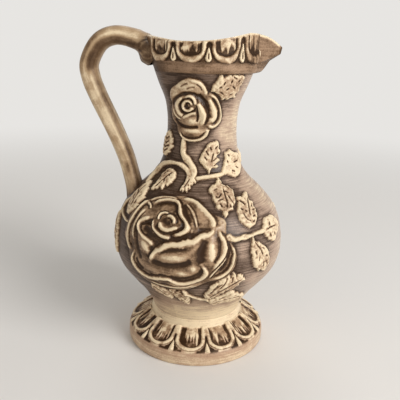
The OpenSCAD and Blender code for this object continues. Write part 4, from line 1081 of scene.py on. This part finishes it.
# spray of the front, and its mirror image on the back
def addSpray():
    looks = dict(rose="rosePetals", leaf="leafClay", stems="stemClay")
    corners, mine = sortQuads(owner, relief, False)
    front = wallPoint(netA[None, :], netV[:, None], np.where(owner >= 0, relief, -sunk))
    wash = ringWashAndPaintedLight[:, :netShape[1]]
    for side in ("front", "back"):
        points = front * (1, 1 if side == "front" else -1, 1)
        for number, name in enumerate(pieces):
            quads = corners[mine == number]
            if side == "back":
                quads = quads[:, ::-1]
            kind = "stems" if name == "stems" else "leaf" if name.endswith("leaf") else "rose"
            node = side + "_" + name
            makePiece(node + "_relief", points, quads, [node], clays[looks[kind]], wash)


addSpray()
print("spray set on both sides")


# tongues: a wide pale border round a dark egg, dark gaps with a dart between two tongues
# across is -1 to 1 from the middle of one gap to the next, share goes up
tongueLook = dict(
    grains=((21, 1.2), (22, 0.5), (23, 0.45)),  # seed and size of mottle, speck and spikes
    archSteps=25, eggSquare=2.3, eggTop=1.15, eggUneven=0.2, outerSquare=2.1, outerUneven=0.15,
    high=1.6, soften=1.9, uneven=0.08, borderSideShade=0.3, borderRun=(0, 0.5),
    patchHigh=0.6, patchUneven=0.2, patchOut=0.5, patchIn=0.9, patchMottle=0.3, patchSpikes=0.6,
    patchFade=0.25, patchRagged=0.1, dartHigh=1.4, dartPoint=0.8, dartLeast=0.1, thinnest=0.05,
    slitHalf=0.55, slitLow=(0.1, 0.25), slitTop=(0.75, 0.5), slitDepth=0.6,
    mottleWash=0.11, speckWash=0.08, eggMottle=1.4,
    eggWash=0.78, patchWash=0.37, gapWash=0.8, dartWash=0.2, slitWash=0.6)


def tongueRelief(across, share, r, halfPitch, length, shape):
    look = tongueLook
    rowR, step = r[:, 0], length / (len(r) - 1)
    x, y = across * np.radians(halfPitch) * r, share * length
    mottle, speck, spikes = [
        unevenness(seed, size, rowR, step, r.shape[1]) for seed, size in look["grains"]]
    spikes = spikes[:1]  # one row of it, drawn out up the slope

    def place(points):
        u, s = np.array(points).T
        return np.stack([u * np.radians(halfPitch) * np.interp(s, share[:, 0], rowR), s * length], -1)

    def arch(half, middle, low, squareness, top):
        turn = np.radians(np.linspace(0, 180, look["archSteps"]))
        c, s = np.cos(turn), np.sin(turn)
        u = half * np.sign(c) * np.abs(c) ** (2 / squareness)
        rise = middle - (middle - low) * np.abs(s) ** (2 / squareness)
        return top + list(zip(u, rise)) + [(-a, b) for a, b in top[::-1]]

    egg = arch(shape["egg"], shape["eggTurn"], shape["eggLow"], look["eggSquare"],
               [(shape["egg"], look["eggTop"])])
    inEgg = loopDistance(x, y, place(egg)) + look["eggUneven"] * mottle
    outer = arch(shape["outer"], shape["outerTurn"], shape["outerLow"], look["outerSquare"],
                 shape["outerTop"])
    edge = np.minimum(-inEgg, loopDistance(x, y, place(outer)) + look["outerUneven"] * mottle)
    band = np.clip(edge / look["soften"], 0, 1)
    border = look["high"] * np.sqrt(1 - (1 - band) ** 2)
    ragged = inEgg + look["patchMottle"] * mottle + look["patchSpikes"] * spikes
    patch = smoothStep(shape["inset"] - look["patchOut"], shape["inset"] + look["patchIn"], ragged)
    patch = patch * smoothStep(shape["patchLow"], shape["patchLow"] + look["patchFade"],
                               share + look["patchRagged"] * spikes)
    low, top = shape["dart"]
    t = np.clip((share - low) / (top - low), 0, 1)
    half = shape["dartHalf"] * np.minimum(2 * np.sqrt(t), 1.0) * (1 - t) ** look["dartPoint"]
    off = np.abs((1 - np.abs(across)) * np.radians(halfPitch) * r)
    dart = np.where((share > low) & (share < top),
                    np.sqrt(np.maximum(1 - (off / np.maximum(half, look["thinnest"])) ** 2, 0)), 0)
    slit = np.exp(-(off / look["slitHalf"]) ** 2)
    slit = slit * smoothStep(*look["slitLow"], t) * smoothStep(*look["slitTop"], t) * shape["slit"]
    dart = look["dartHigh"] * dart * (1 - look["slitDepth"] * slit)
    high = np.maximum(border * (1 + look["uneven"] * mottle),
                      look["patchHigh"] * patch * (1 + look["patchUneven"] * mottle))
    uneven = look["mottleWash"] * mottle + look["speckWash"] * speck
    wash = blend(look["eggWash"], look["patchWash"], patch) - look["eggMottle"] * uneven
    wash = np.where(inEgg > 0, wash, look["gapWash"] - uneven)
    wash = blend(wash, shape["lowWash"], smoothStep(shape["lowTo"], 0.0, share))
    # painted shade: a border is palest at its crest and darker towards its edges, so the cords read as
    # rounded
    shadedBorder = shape["borderWash"] + look["borderSideShade"] * (1 - band) ** 2 - uneven
    wash = blend(wash, shadedBorder, smoothStep(*look["borderRun"], band))
    wash = np.where(dart > look["dartLeast"], look["dartWash"] + look["slitWash"] * slit, wash)
    held = np.where(dart > np.maximum(high, leastHigh), 1, np.where(high > leastHigh, 0, -1))
    return np.maximum(high, dart), held, wash


def addTongues(ring, points, held, high, wash):
    corners, mine = sortQuads(held, high, True)
    for number, kind in enumerate(("_tongues", "_darts")):
        makePiece(ring + kind + "_relief", points, corners[mine == number], [ring + kind],
                  clays["tongueEdges"], wash)


mostCut = 0.45   # of an edge, by the curve at its corner
cornerSteps = 5  # points on that curve


# turned loop of corners, each cut by a curve, with extra points along some edges
def roundLoop(corners, cuts, fill):
    steps = cornerSteps - 1
    corners = np.asarray(corners, float)
    count = corners.shape[-2]
    starts, ends = [], []
    for i in range(count):
        here, before = corners[..., i, :], corners[..., i - 1, :]
        after = corners[..., (i + 1) % count, :]
        for other, found in ((before, starts), (after, ends)):
            gap = np.linalg.norm(other - here, axis=-1, keepdims=True)
            found.append(here + (other - here) * np.minimum(cuts[i] / np.maximum(gap, 1e-6), mostCut))
    rows = []
    for i in range(count):
        turns = steps if cuts[i] else 0  # a corner without a cut is one point
        for k in range(turns + 1):
            t = k / steps
            rows.append((1 - t) ** 2 * starts[i] + 2 * t * (1 - t) * corners[..., i, :] + t * t * ends[i])
        for k in range(fill[i]):
            t = (k + 1) / (fill[i] + 1)
            rows.append(ends[i] * (1 - t) + starts[(i + 1) % count] * t)
    return np.stack(rows, -2)


def spin(section, angle):
    a = np.radians(angle)
    x, y = section[..., 0] * np.sin(a), -section[..., 0] * np.cos(a)
    return np.stack(np.broadcast_arrays(x, y, section[..., 1]), -1)


# foot: rim, slope with tongues and darts, throat
# the loop of its section runs from the resting ring up the outside and down the inside
foot = dict(
    rimR=nodeBox("foot")[1][0], top=nodeBox("foot")[1][2],
    rimH=9.5, slopeH=10.5, edge=1.2, ringW=8.0, recess=2.0, floorZ=7.0, throatR=33.2, axisR=0.05,
    columns=720, rows=54, tongues=12,
    cuts=[0.8, 1.8, 3.2, 1.5, 0.1, 0.1, 1, 2, 0, 0, 0.5], fill=[2, 3, 60, 6, 0, 2, 6, 4, 0, 4, 0],
    outside=(8, 95), slack=0.3,  # which points of the loop can be on the outside, if they lie so far out
    rimWash=0.31, underWash=0.12, underShadeRun=(-0.45, 0.0), throatWash=0.13, throatRun=(0.93, 1.0),
    shape=dict(egg=0.67, eggTurn=0.58, eggLow=0.2, outer=0.98, outerTurn=0.56, outerLow=0.03,
               outerTop=[(1.3, 1.15), (1.3, 0.7), (1.0, 0.6)], lowWash=0.28, lowTo=0.07, inset=1.5,
               patchLow=0.42, borderWash=0.36, dart=(0.0, 0.4), dartHalf=2.3, slit=0.15))


def addFoot():
    slopeR, slopeZ = foot["rimR"] - foot["edge"], foot["rimH"] + foot["slopeH"]
    angle = np.arange(foot["columns"]) * 360 / foot["columns"] - 90
    share = np.linspace(0, 1, foot["rows"])
    r = slopeR + share * (foot["throatR"] - slopeR)
    z = foot["rimH"] + share * foot["slopeH"]
    length = math.hypot(slopeR - foot["throatR"], foot["slopeH"])
    normal = np.array([foot["slopeH"], slopeR - foot["throatR"]]) / length
    halfPitch = 180 / foot["tongues"]
    ringR = np.repeat(r[:, None], len(angle), 1)
    ringShare = np.repeat(share[:, None], len(angle), 1)
    across = ((angle / halfPitch + 1) % 2 - 1)[None, :] + 0 * ringR
    high, held, wash = tongueRelief(across, ringShare, ringR, halfPitch, length, foot["shape"])
    wash = wash + hollows(high, r, length / (foot["rows"] - 1))[0]
    wash = np.clip(blend(wash, foot["throatWash"], smoothStep(*foot["throatRun"], ringShare)), 0, 1)
    lifted = np.where(held >= 0, high, -sunk)
    points = spin(np.stack([ringR + lifted * normal[0], z[:, None] + lifted * normal[1]], -1),
                  angle[None, :])
    addTongues("foot", points, held, high, wash)
    ringIn = slopeR - foot["ringW"]
    section = [(ringIn, 0), (foot["rimR"], 0), (foot["rimR"], foot["rimH"]), (foot["throatR"], slopeZ),
               (wall["waistR"], foot["top"]), (wall["waistR"] - wall["thick"], foot["top"]),
               (foot["throatR"] - wall["thick"], slopeZ),
               (slopeR - 2 * wall["thick"], foot["floorZ"]), (foot["axisR"], foot["floorZ"]),
               (foot["axisR"], foot["recess"]), (ringIn, foot["recess"])]
    loop = roundLoop(section, foot["cuts"], foot["fill"])
    points = spin(loop[:, None, :], angle[None, :])
    loopShare = (loop[:, 1] - foot["rimH"]) / foot["slopeH"]
    place = np.arange(len(loop))
    first, last = foot["outside"]
    outside = (place > first) & (loop[:, 0] > wall["waistR"] - foot["slack"]) & (place < last)
    row = np.clip(np.round(loopShare * (foot["rows"] - 1)), 0, foot["rows"] - 1).astype(int)
    # painted shade below the tongues: the tone darkens towards the height of the rim's top
    rimTone = foot["rimWash"] + foot["underWash"] * smoothStep(*foot["underShadeRun"], loopShare)
    tone = np.where((outside & (loopShare > 0))[:, None], wash[row], rimTone[:, None])
    tone = np.where((outside & (loopShare >= 1))[:, None], foot["throatWash"], tone)
    makePiece("foot_turned", points, netQuads(len(loop), len(angle), closedRows=True), ["foot"],
              clays["footClay"], tone)


addFoot()
print("foot turned")

# collar: plain strip, band with tongues and darts, dipped rim
collar = dict(
    bandR=37.5, rimT=4.0, bandH=12.0, rise=5.8, saddleR=120.0, saddleShift=8.0, stripH=6.5, inset=0.8,
    tuckTop=2.0, tuckLow=4.2, tuckInner=2.0, tuckRun=(0.5, -0.9),  # the strip draws in towards the handle
    cuts=[0.1, 2.0, 1.5, 1.3, 0.3, 0.2, 3.0, 0.1], fill=[2, 6, 1, 40, 0, 5, 2, 2],
    columns=640, fieldColumns=720, fieldRows=36, tongues=11,
    spoutGap=1.5, handleGap=33.0, dartGap=40.0,  # degrees without tongues, and without darts
    innerWash=0.26, endWash=0.62, stripWash=0.54, stripShade=0.3, stripShadeRun=(60, 30),
    rimWash=0.2, rimRun=(0.9, 0.98), rimEdge=(-1.6, -0.4), reliefRun=(1, 0.9), bandIn=0.05, bandUp=0.2,
    spoutSide=0.28, spoutRun=(54, 36), spoutFade=7, spoutStreak=0.7, streakSeed=24, streakSize=0.6,
    handleSide=0.34, handleRun=(146, 166),
    shape=dict(egg=0.6, eggTurn=0.66, eggLow=0.3, outer=0.87, outerTurn=0.8, outerLow=-0.06,
               outerTop=[(1.3, 1.15), (1.3, 1.02), (1.0, 0.95), (0.9, 0.86)], lowWash=0.7, lowTo=0.14,
               inset=1.3, patchLow=0.44, borderWash=0.5, dart=(0.04, 0.7), dartHalf=2.5, slit=1.0))
spout = dict(
    halfAngle=21.0, reach=12.6, drop=7.0, lipT=4.6, floorShare=0.25, keelReachShare=0.38,
    keelRiseShare=0.14, tipH=4.6, tipIn=1.0, blunt=(1.08, 0.0064, 0.0768), bow=2.0, bowLow=4, bowTop=3,
    sections=41, crestPoints=3, sideWash=0.6, ridgeWash=0.12, ridgeRun=(2.4, 1.1), tipShadeWash=0.8,
    tipShadeRun=(0.86, 0.97), tipFrom=2, underWash=0.62)
stripZ = collarZ + collar["stripH"]
rimLowZ = stripZ + collar["bandH"]
earZ = rimLowZ + collar["rise"]


def rimTop(x):
    dip = np.sqrt(collar["saddleR"] ** 2 - (x + collar["saddleShift"]) ** 2)
    return np.minimum(rimLowZ + collar["saddleR"] - dip, earZ)


# around counts from the spout, the same way on both sides
def rimField():
    angle = np.arange(collar["fieldColumns"]) * 360 / collar["fieldColumns"] - 90
    around = np.abs((angle - 90 + 180) % 360 - 180)
    share = np.linspace(0, 1, collar["fieldRows"])
    r = np.full((len(share), len(angle)), collar["bandR"])
    ringShare = np.repeat(share[:, None], len(angle), 1)
    halfPitch = 180 / collar["tongues"]
    across = ((around / halfPitch + 1) % 2 - 1)[None, :] + 0 * r
    high, held, wash = tongueRelief(across, ringShare, r, halfPitch, collar["bandH"], collar["shape"])
    shown = (around > spout["halfAngle"] + collar["spoutGap"]) & (around < 180 - collar["handleGap"])
    shown = shown[None, :] & ((held != 1) | (around < 180 - collar["dartGap"])[None, :])
    high = np.where(shown, high, 0)
    held = np.where(shown, held, -1)
    wash = np.where(shown, wash, collar["endWash"])
    streaks = unevenness(collar["streakSeed"], collar["streakSize"], r[:, 0], 1.0, len(angle))[:1]
    streaks = 1 + collar["spoutStreak"] * streaks
    nearSpout = smoothStep(*collar["spoutRun"], around)
    nearSpout = nearSpout * smoothStep(spout["halfAngle"], spout["halfAngle"] + collar["spoutFade"], around)
    wash = wash + collar["spoutSide"] * nearSpout[None, :] * streaks
    wash = wash + collar["handleSide"] * smoothStep(*collar["handleRun"], around)[None, :]
    wash = np.clip(wash + hollows(high, r[:, 0], collar["bandH"] / (collar["fieldRows"] - 1))[0], 0, 1)
    return angle, high, held, blend(wash, collar["rimWash"], smoothStep(*collar["rimRun"], ringShare))


def collarSection(angle):
    bandR, inner = collar["bandR"], collar["bandR"] - collar["rimT"]
    lean = np.sin(np.radians(angle))
    flat = np.ones_like(lean)
    tuck = smoothStep(*collar["tuckRun"], lean)
    corners = [(wall["neckTopR"] - wall["thick"], collarZ), (inner - collar["tuckInner"] * tuck, stripZ),
               (inner, rimTop(inner * lean)), (bandR, rimTop(bandR * lean)), (bandR, stripZ),
               (bandR - collar["inset"] - collar["tuckTop"] * tuck, stripZ),
               (bandR - collar["inset"] - collar["tuckLow"] * tuck, collarZ + collar["inset"]),
               (wall["neckTopR"], collarZ)]
    return np.stack([np.stack([r * flat, z * flat], -1) for r, z in corners], -2)


def addCollar():
    angle, high, held, wash = rimField()
    share = np.linspace(0, 1, collar["fieldRows"])
    rise = rimTop(collar["bandR"] * np.sin(np.radians(angle))) - stripZ
    z = stripZ + share[:, None] * rise[None, :]
    lifted = np.where(held >= 0, high, -sunk)
    section = np.stack([collar["bandR"] + lifted * smoothStep(*collar["reliefRun"], share)[:, None], z], -1)
    points = spin(section, angle[None, :])
    addTongues("rim", points, held, high, wash)
    ring = np.linspace(90 + spout["halfAngle"], 450 - spout["halfAngle"], collar["columns"])
    loop = roundLoop(collarSection(ring), collar["cuts"], collar["fill"])
    points = spin(loop, ring[:, None])
    rise = rimTop(collar["bandR"] * np.sin(np.radians(ring)))[:, None] - stripZ
    row = np.clip(np.round((loop[..., 1] - stripZ) / rise * (collar["fieldRows"] - 1)), 0,
                  collar["fieldRows"] - 1).astype(int)
    col = np.round((ring + 90) / 360 * collar["fieldColumns"]).astype(int) % collar["fieldColumns"]
    bandWash = wash[row, col[:, None]]
    onBand = loop[..., 0] > collar["bandR"] - collar["bandIn"]
    onBand = onBand & (loop[..., 1] > stripZ + collar["bandUp"])
    below = loop[..., 1] - rimTop(loop[..., 0] * np.sin(np.radians(ring))[:, None])
    top = smoothStep(*collar["rimEdge"], below)
    # painted shade on the strip, darker towards the handle, under its root and the band's overhang
    dark = smoothStep(*collar["stripShadeRun"], np.abs(ring - 270))[:, None]
    place = np.arange(loop.shape[1])[None, :]
    tone = np.where(place < 3 * cornerSteps + sum(collar["fill"][:3]), collar["innerWash"],
                    collar["stripWash"] + collar["stripShade"] * dark)
    tone = blend(np.where(onBand, bandWash, tone), collar["rimWash"], top)
    makePiece("rim_collar_band", points, netQuads(*loop.shape[:2]), ["rim_collar"],
              clays["collarClay"], tone)


def addSpout():
    bandR, inner = collar["bandR"], collar["bandR"] - collar["rimT"]
    tipR, tipZ = bandR + spout["reach"], earZ - spout["drop"]
    tip = np.array([
        (wall["neckTopR"] - wall["thick"], collarZ),
        (inner + spout["reach"] * spout["floorShare"], stripZ),
        (tipR - spout["lipT"], tipZ),
        (tipR, tipZ),
        (tipR - spout["tipIn"], tipZ - spout["tipH"]),
        (bandR + spout["reach"] * spout["keelReachShare"],
         stripZ + collar["bandH"] * spout["keelRiseShare"]),
        (bandR, collarZ + collar["inset"]),
        (wall["neckTopR"], collarZ)])
    ends = np.array([90 - spout["halfAngle"], 90 + spout["halfAngle"]])
    sideLoops = roundLoop(collarSection(ends), collar["cuts"], collar["fill"])
    tipLoop = roundLoop(tip, collar["cuts"], collar["fill"])
    lowEnd, highEnd = spin(sideLoops, ends[:, None])
    point = spin(tipLoop, np.full(len(tipLoop), 90.0))
    t = np.linspace(-1, 1, spout["sections"])[:, None, None]
    peak, rounding, less = spout["blunt"]  # a nearly straight rise to a rounded tip
    near = peak - np.sqrt(t * t + rounding) - less * (1 - np.abs(t))
    near = (near - near[0]) / (near[len(near) // 2] - near[0])
    points = np.where(t < 0, lowEnd, highEnd) * (1 - near) + point * near
    upper = smoothStep(stripZ + spout["bowLow"], earZ - spout["bowTop"], tipLoop[:, 1])[None, :]
    points[..., 2] += spout["bow"] * np.sin(np.pi * near[..., 0]) * upper
    quads = netQuads(spout["sections"], len(tipLoop))[:, ::-1]
    perCorner = np.repeat([collar["innerWash"], spout["ridgeWash"], spout["underWash"],
                           collar["stripWash"]], 2)
    tone = np.repeat(perCorner, cornerSteps + np.array(collar["fill"]))
    bandStart = 4 * cornerSteps + sum(collar["fill"][:3])
    bandRows = np.arange(bandStart - spout["crestPoints"], bandStart + collar["fill"][3])
    tone[bandRows] = spout["sideWash"]
    tone = np.repeat(tone[None, :], spout["sections"], 0)
    depth = points[..., 2].max(1, keepdims=True) - points[:, bandRows, 2]
    ridge = smoothStep(*spout["ridgeRun"], depth)
    tone[:, bandRows] += (spout["ridgeWash"] - spout["sideWash"]) * ridge
    # painted shade on the tip of the beak, where it turns under
    onTip = (tipLoop[:, 0] > bandR + spout["tipFrom"]) & (np.arange(len(tipLoop)) >= bandRows[0])
    tone = blend(tone, spout["tipShadeWash"], smoothStep(*spout["tipShadeRun"], near[..., 0]) * onTip)
    makePiece("spout_beak", points, quads, ["spout"], clays["collarClay"], tone)


addCollar()
addSpout()
print("collar and spout set")

# handle: strap swept from the collar to the shoulder
handle = dict(
    reach=39.0, rise=2.7, width=14.0, thick=11.6, rootShare=0.521, sides=72, perSpan=14, bury=(11.0, 16.0),
    tailSteps=9, sink=2.4, taper=([0, 0.08], [0.6, 0]), lidRun=[34.5, 37.5, 42], lid=[-0.8, 1.0, 9],
    wrapRun=(0.15, 0.05), bandSeat=0.6, bandStep=0.5, flareBlend=1.5,
    flareRun=[0, 0.034, 0.045, 0.056, 0.07, 0.085, 0.12, 0.16, 0.8, 0.86, 0.9, 0.94, 1],
    flareShares=[2.9, 2.85, 2.2, 1.65, 1.3, 1.12, 1.02, 1, 1, 1.03, 1.12, 1.28, 1.6],
    innerShares=[1.7, 1.6, 1.3, 1.02, 0.9, 0.9, 0.95, 1, 1, 0.98, 0.95, 0.95, 1],
    outerShares=[1.3, 1.2, 1.12, 1.08, 1.1, 1.14, 1.08, 1, 1, 1.03, 1.09, 1.23, 1.65],
    squareness=[3.2, 3.2, 3.1, 3.0, 2.8, 2.6, 2.6, 2.5, 2.5, 2.5, 2.5, 2.5, 2.5],
    path=[(0, 0.931), (0.141, 0.963), (0.5, 1), (0.808, 0.956), (1, 0.828), (0.982, 0.724),
          (0.844, 0.592), (0.564, 0.372), (0.382, 0.205), (0.256, 0.045), (0.197, -0.03)],
    thickRun=[0, 0.12, 0.4, 0.7, 0.9, 1], thickShares=[1.2, 1.06, 1.06, 0.98, 0.93, 0.98],
    # across the strap, outer edge -1 to inner edge 1: painted highlight bands along its face and painted
    # shade on its inner side, above and below the bend
    across=[-1, -0.9, -0.55, -0.2, 0.03, 0.2, 0.35, 0.5, 0.65, 0.88, 1],
    upperLitAndShadedWashes=[0.5, 0.44, 0.38, 0.2, 0.46, 0.7, 0.78, 0.8, 0.8, 0.66, 0.44],
    lowerLitAndShadedWashes=[0.66, 0.36, 0.27, 0.25, 0.27, 0.27, 0.12, 0.3, 0.6, 0.56, 0.28], changeRun=(0.36, 0.43),
    # patches along the strap: painted shade at the bend, a painted highlight where the wash is negative,
    # and darker stain low down
    stainShadeAndHighlightSmears=[(0.34, 0.05, -0.2, 0.5, 0.28), (0.28, 0.05, -0.6, 0.5, 0.24), (0.15, 0.05, -0.25, 0.25, -0.1),
            (0.45, 0.03, -0.3, 0.5, 0.12), (0.73, 0.05, -0.1, 0.4, 0.2),
            (0.84, 0.035, 0.05, 0.4, 0.5)],  # run, reach, across, reach, wash
    rootWash=0.58, rootRun=(0.09, 0.05), rootStreak=0.2, streaks=40, streakSeed=31, streakHalf=24.0,
    flankRun=(5, 11), lowWash=0.66, lowRun=(0.84, 0.97), brushRun=2.0)


def addHandle():
    lowZ = waistZ + handle["rootShare"] * (collarZ - waistZ)
    topZ = rimLowZ + handle["rise"]
    shares = np.array(handle["path"])
    path = np.stack([-(collar["bandR"] + shares[:, 0] * handle["reach"]),
                     lowZ + shares[:, 1] * (topZ - lowZ)], -1)
    line = smoothLine(path, handle["perSpan"])[handle["perSpan"]:-handle["perSpan"]]
    for end, inner, bury in ((0, 1, handle["bury"][0]), (-1, -2, handle["bury"][1])):
        out = line[end] - line[inner]
        steps = np.arange(1, handle["tailSteps"] + 1)[:, None] / handle["tailSteps"]
        tail = line[end] + out / np.linalg.norm(out) * bury * steps
        line = np.vstack([tail[::-1], line]) if end == 0 else np.vstack([line, tail])
    run = np.concatenate([[0], np.cumsum(np.linalg.norm(np.diff(line, axis=0), axis=1))])
    run /= run[-1]
    along = np.gradient(line, axis=0)
    along /= np.linalg.norm(along, axis=1)[:, None]
    thick = handle["thick"] * np.interp(run, handle["thickRun"], handle["thickShares"])
    turn = np.linspace(0, 2 * np.pi, handle["sides"], endpoint=False)
    inner, outer, flare, squareness = [
        smoothAt(np.stack([handle["flareRun"], handle[key]], -1), run)[:, None]
        for key in ("innerShares", "outerShares", "flareShares", "squareness")]
    c = np.sign(np.cos(turn)) * np.abs(np.cos(turn)) ** (2 / squareness)
    s = np.sign(np.sin(turn)) * np.abs(np.sin(turn)) ** (2 / squareness)
    out = thick[:, None] / 2 * c * np.where(c > 0, inner, outer)
    x = line[:, :1] - out * along[:, 1:]
    z = line[:, 1:] + out * along[:, :1]
    flare = np.where(c < 0, 1 + (flare - 1) * (1 + c) ** handle["flareBlend"], flare)
    y = handle["width"] / 2 * flare * s
    hug = smoothStep(*handle["wrapRun"], run)[:, None]  # the flared root lies round the collar
    x, y = x - hug * x * (1 - np.cos(y / collar["bandR"])), y - hug * (y + x * np.sin(y / collar["bandR"]))
    stripR = collar["bandR"] - collar["inset"] - collar["tuckTop"]
    collarR = np.interp(z, [collarZ, stripZ, stripZ + handle["bandStep"]],
                        [wall["neckTopR"], stripR, collar["bandR"] - handle["bandSeat"]])
    carrier = np.where(z > collarZ, collarR, np.interp(z, runZ, runR)) - handle["sink"]
    carrier = carrier - np.interp(run, *handle["taper"])[:, None]
    r = np.hypot(x, y)
    inward = np.maximum(carrier / r, 1)  # ends stay within the wall that carries them
    lid = rimTop(x * inward) + np.interp(r * inward, handle["lidRun"], handle["lid"])
    z = np.where(z > stripZ, np.minimum(z, lid), z)  # the root tapers onto the rim
    points = np.stack([x * inward, y * inward, z], -1)
    quads = netQuads(len(line), handle["sides"])
    # painted highlight and painted shade across the strap, then the patches along it
    upper, lower = [np.interp(c, handle["across"], handle[key]) for key in ("upperLitAndShadedWashes", "lowerLitAndShadedWashes")]
    tone = blend(upper, lower, smoothStep(*handle["changeRun"], run)[:, None])
    for middle, reach, offset, spread, more in handle["stainShadeAndHighlightSmears"]:
        tone += more * np.exp(-((run[:, None] - middle) / reach) ** 2 - ((c - offset) / spread) ** 2)
    streaks = np.random.default_rng(handle["streakSeed"]).standard_normal(handle["streaks"])
    places = np.linspace(-handle["streakHalf"], handle["streakHalf"], handle["streaks"])
    streaks = handle["rootStreak"] * np.interp(y, places, streaks)
    streaks = handle["rootWash"] + streaks * smoothStep(*handle["flankRun"], np.abs(y))
    tone = blend(tone, streaks, smoothStep(*handle["rootRun"], run)[:, None])
    tone = blend(tone, handle["lowWash"], smoothStep(*handle["lowRun"], run)[:, None])
    length = run[:, None] * handle["brushRun"] + 0 * x
    brush = np.stack([length, 0 * x, thick[:, None] / 2 * turn[None, :] * mm + 0 * x], -1)
    makePiece("handle_strap", points, quads, ["handle"], clays["handleClay"], tone, brush)


addHandle()
print("handle set")


# floor, backdrop and lights
stageLook = dict(
    floor=(0.80, 0.785, 0.76, 1), backdrop=(0.80, 0.785, 0.76, 1), size=12.0, rough=0.85, fade=(0.3, 1.1),
    sky=(1.0, 0.985, 0.96, 1), skyLevel=0.36, aim=(0, 0, 0.11))
lamps = dict(
    key=dict(place=(1.0, -0.7, 0.75), size=0.7, power=16.5, colour=(1.0, 0.985, 0.975)),
    fill=dict(place=(-0.9, -0.9, 0.5), size=0.9, power=2.0, colour=(1.0, 0.82, 0.6)),
    back=dict(place=(-0.2, 0.9, 0.9), size=0.8, power=3.0, colour=(1.0, 0.98, 0.95)))


def addStage():
    half = stageLook["size"] / 2
    mesh = bpy.data.meshes.new("floor")
    mesh.from_pydata([(-half, -half, 0), (half, -half, 0), (half, half, 0), (-half, half, 0)], [],
                     [(0, 1, 2, 3)])
    floor = bpy.data.objects.new("floor", mesh)
    bpy.context.collection.objects.link(floor)
    material = bpy.data.materials.new("paleFloor")
    material.use_nodes = True
    tree = material.node_tree
    shader = tree.nodes["Principled BSDF"]
    plug(tree, shader, {"Base Color": stageLook["floor"], "Roughness": stageLook["rough"]})
    glow = addNode(tree, "ShaderNodeEmission", {"Color": stageLook["backdrop"]})
    coords = addNode(tree, "ShaderNodeTexCoord")
    away = addNode(tree, "ShaderNodeVectorMath", {0: coords.outputs["Object"]}, operation="LENGTH")
    far = ramp(tree, away.outputs["Value"], *stageLook["fade"])  # far floor runs into the backdrop
    fade = addNode(tree, "ShaderNodeMixShader", {0: far, 1: shader.outputs[0], 2: glow.outputs[0]})
    plug(tree, tree.nodes["Material Output"], {"Surface": fade.outputs[0]})
    mesh.materials.append(material)
    world = bpy.data.worlds.new("studio")
    world.use_nodes = True
    bpy.context.scene.world = world
    tree = world.node_tree
    sky = tree.nodes["Background"]
    plug(tree, sky, {"Color": stageLook["sky"], "Strength": stageLook["skyLevel"]})
    seen = addNode(tree, "ShaderNodeBackground", {"Color": stageLook["backdrop"]})
    path = addNode(tree, "ShaderNodeLightPath")
    pick = addNode(tree, "ShaderNodeMixShader", {
        0: path.outputs["Is Camera Ray"], 1: sky.outputs[0], 2: seen.outputs[0]})
    plug(tree, tree.nodes["World Output"], {"Surface": pick.outputs[0]})
    for name, lamp in lamps.items():
        data = bpy.data.lights.new(name, "AREA")
        data.size = lamp["size"]
        data.energy = lamp["power"]
        data.color = lamp["colour"]
        light = bpy.data.objects.new(name, data)
        bpy.context.collection.objects.link(light)
        light.location = lamp["place"]
        aim = Vector(stageLook["aim"]) - light.location
        light.rotation_euler = aim.to_track_quat("-Z", "Y").to_euler()


addStage()
bpy.context.scene.view_settings.view_transform = "Standard"
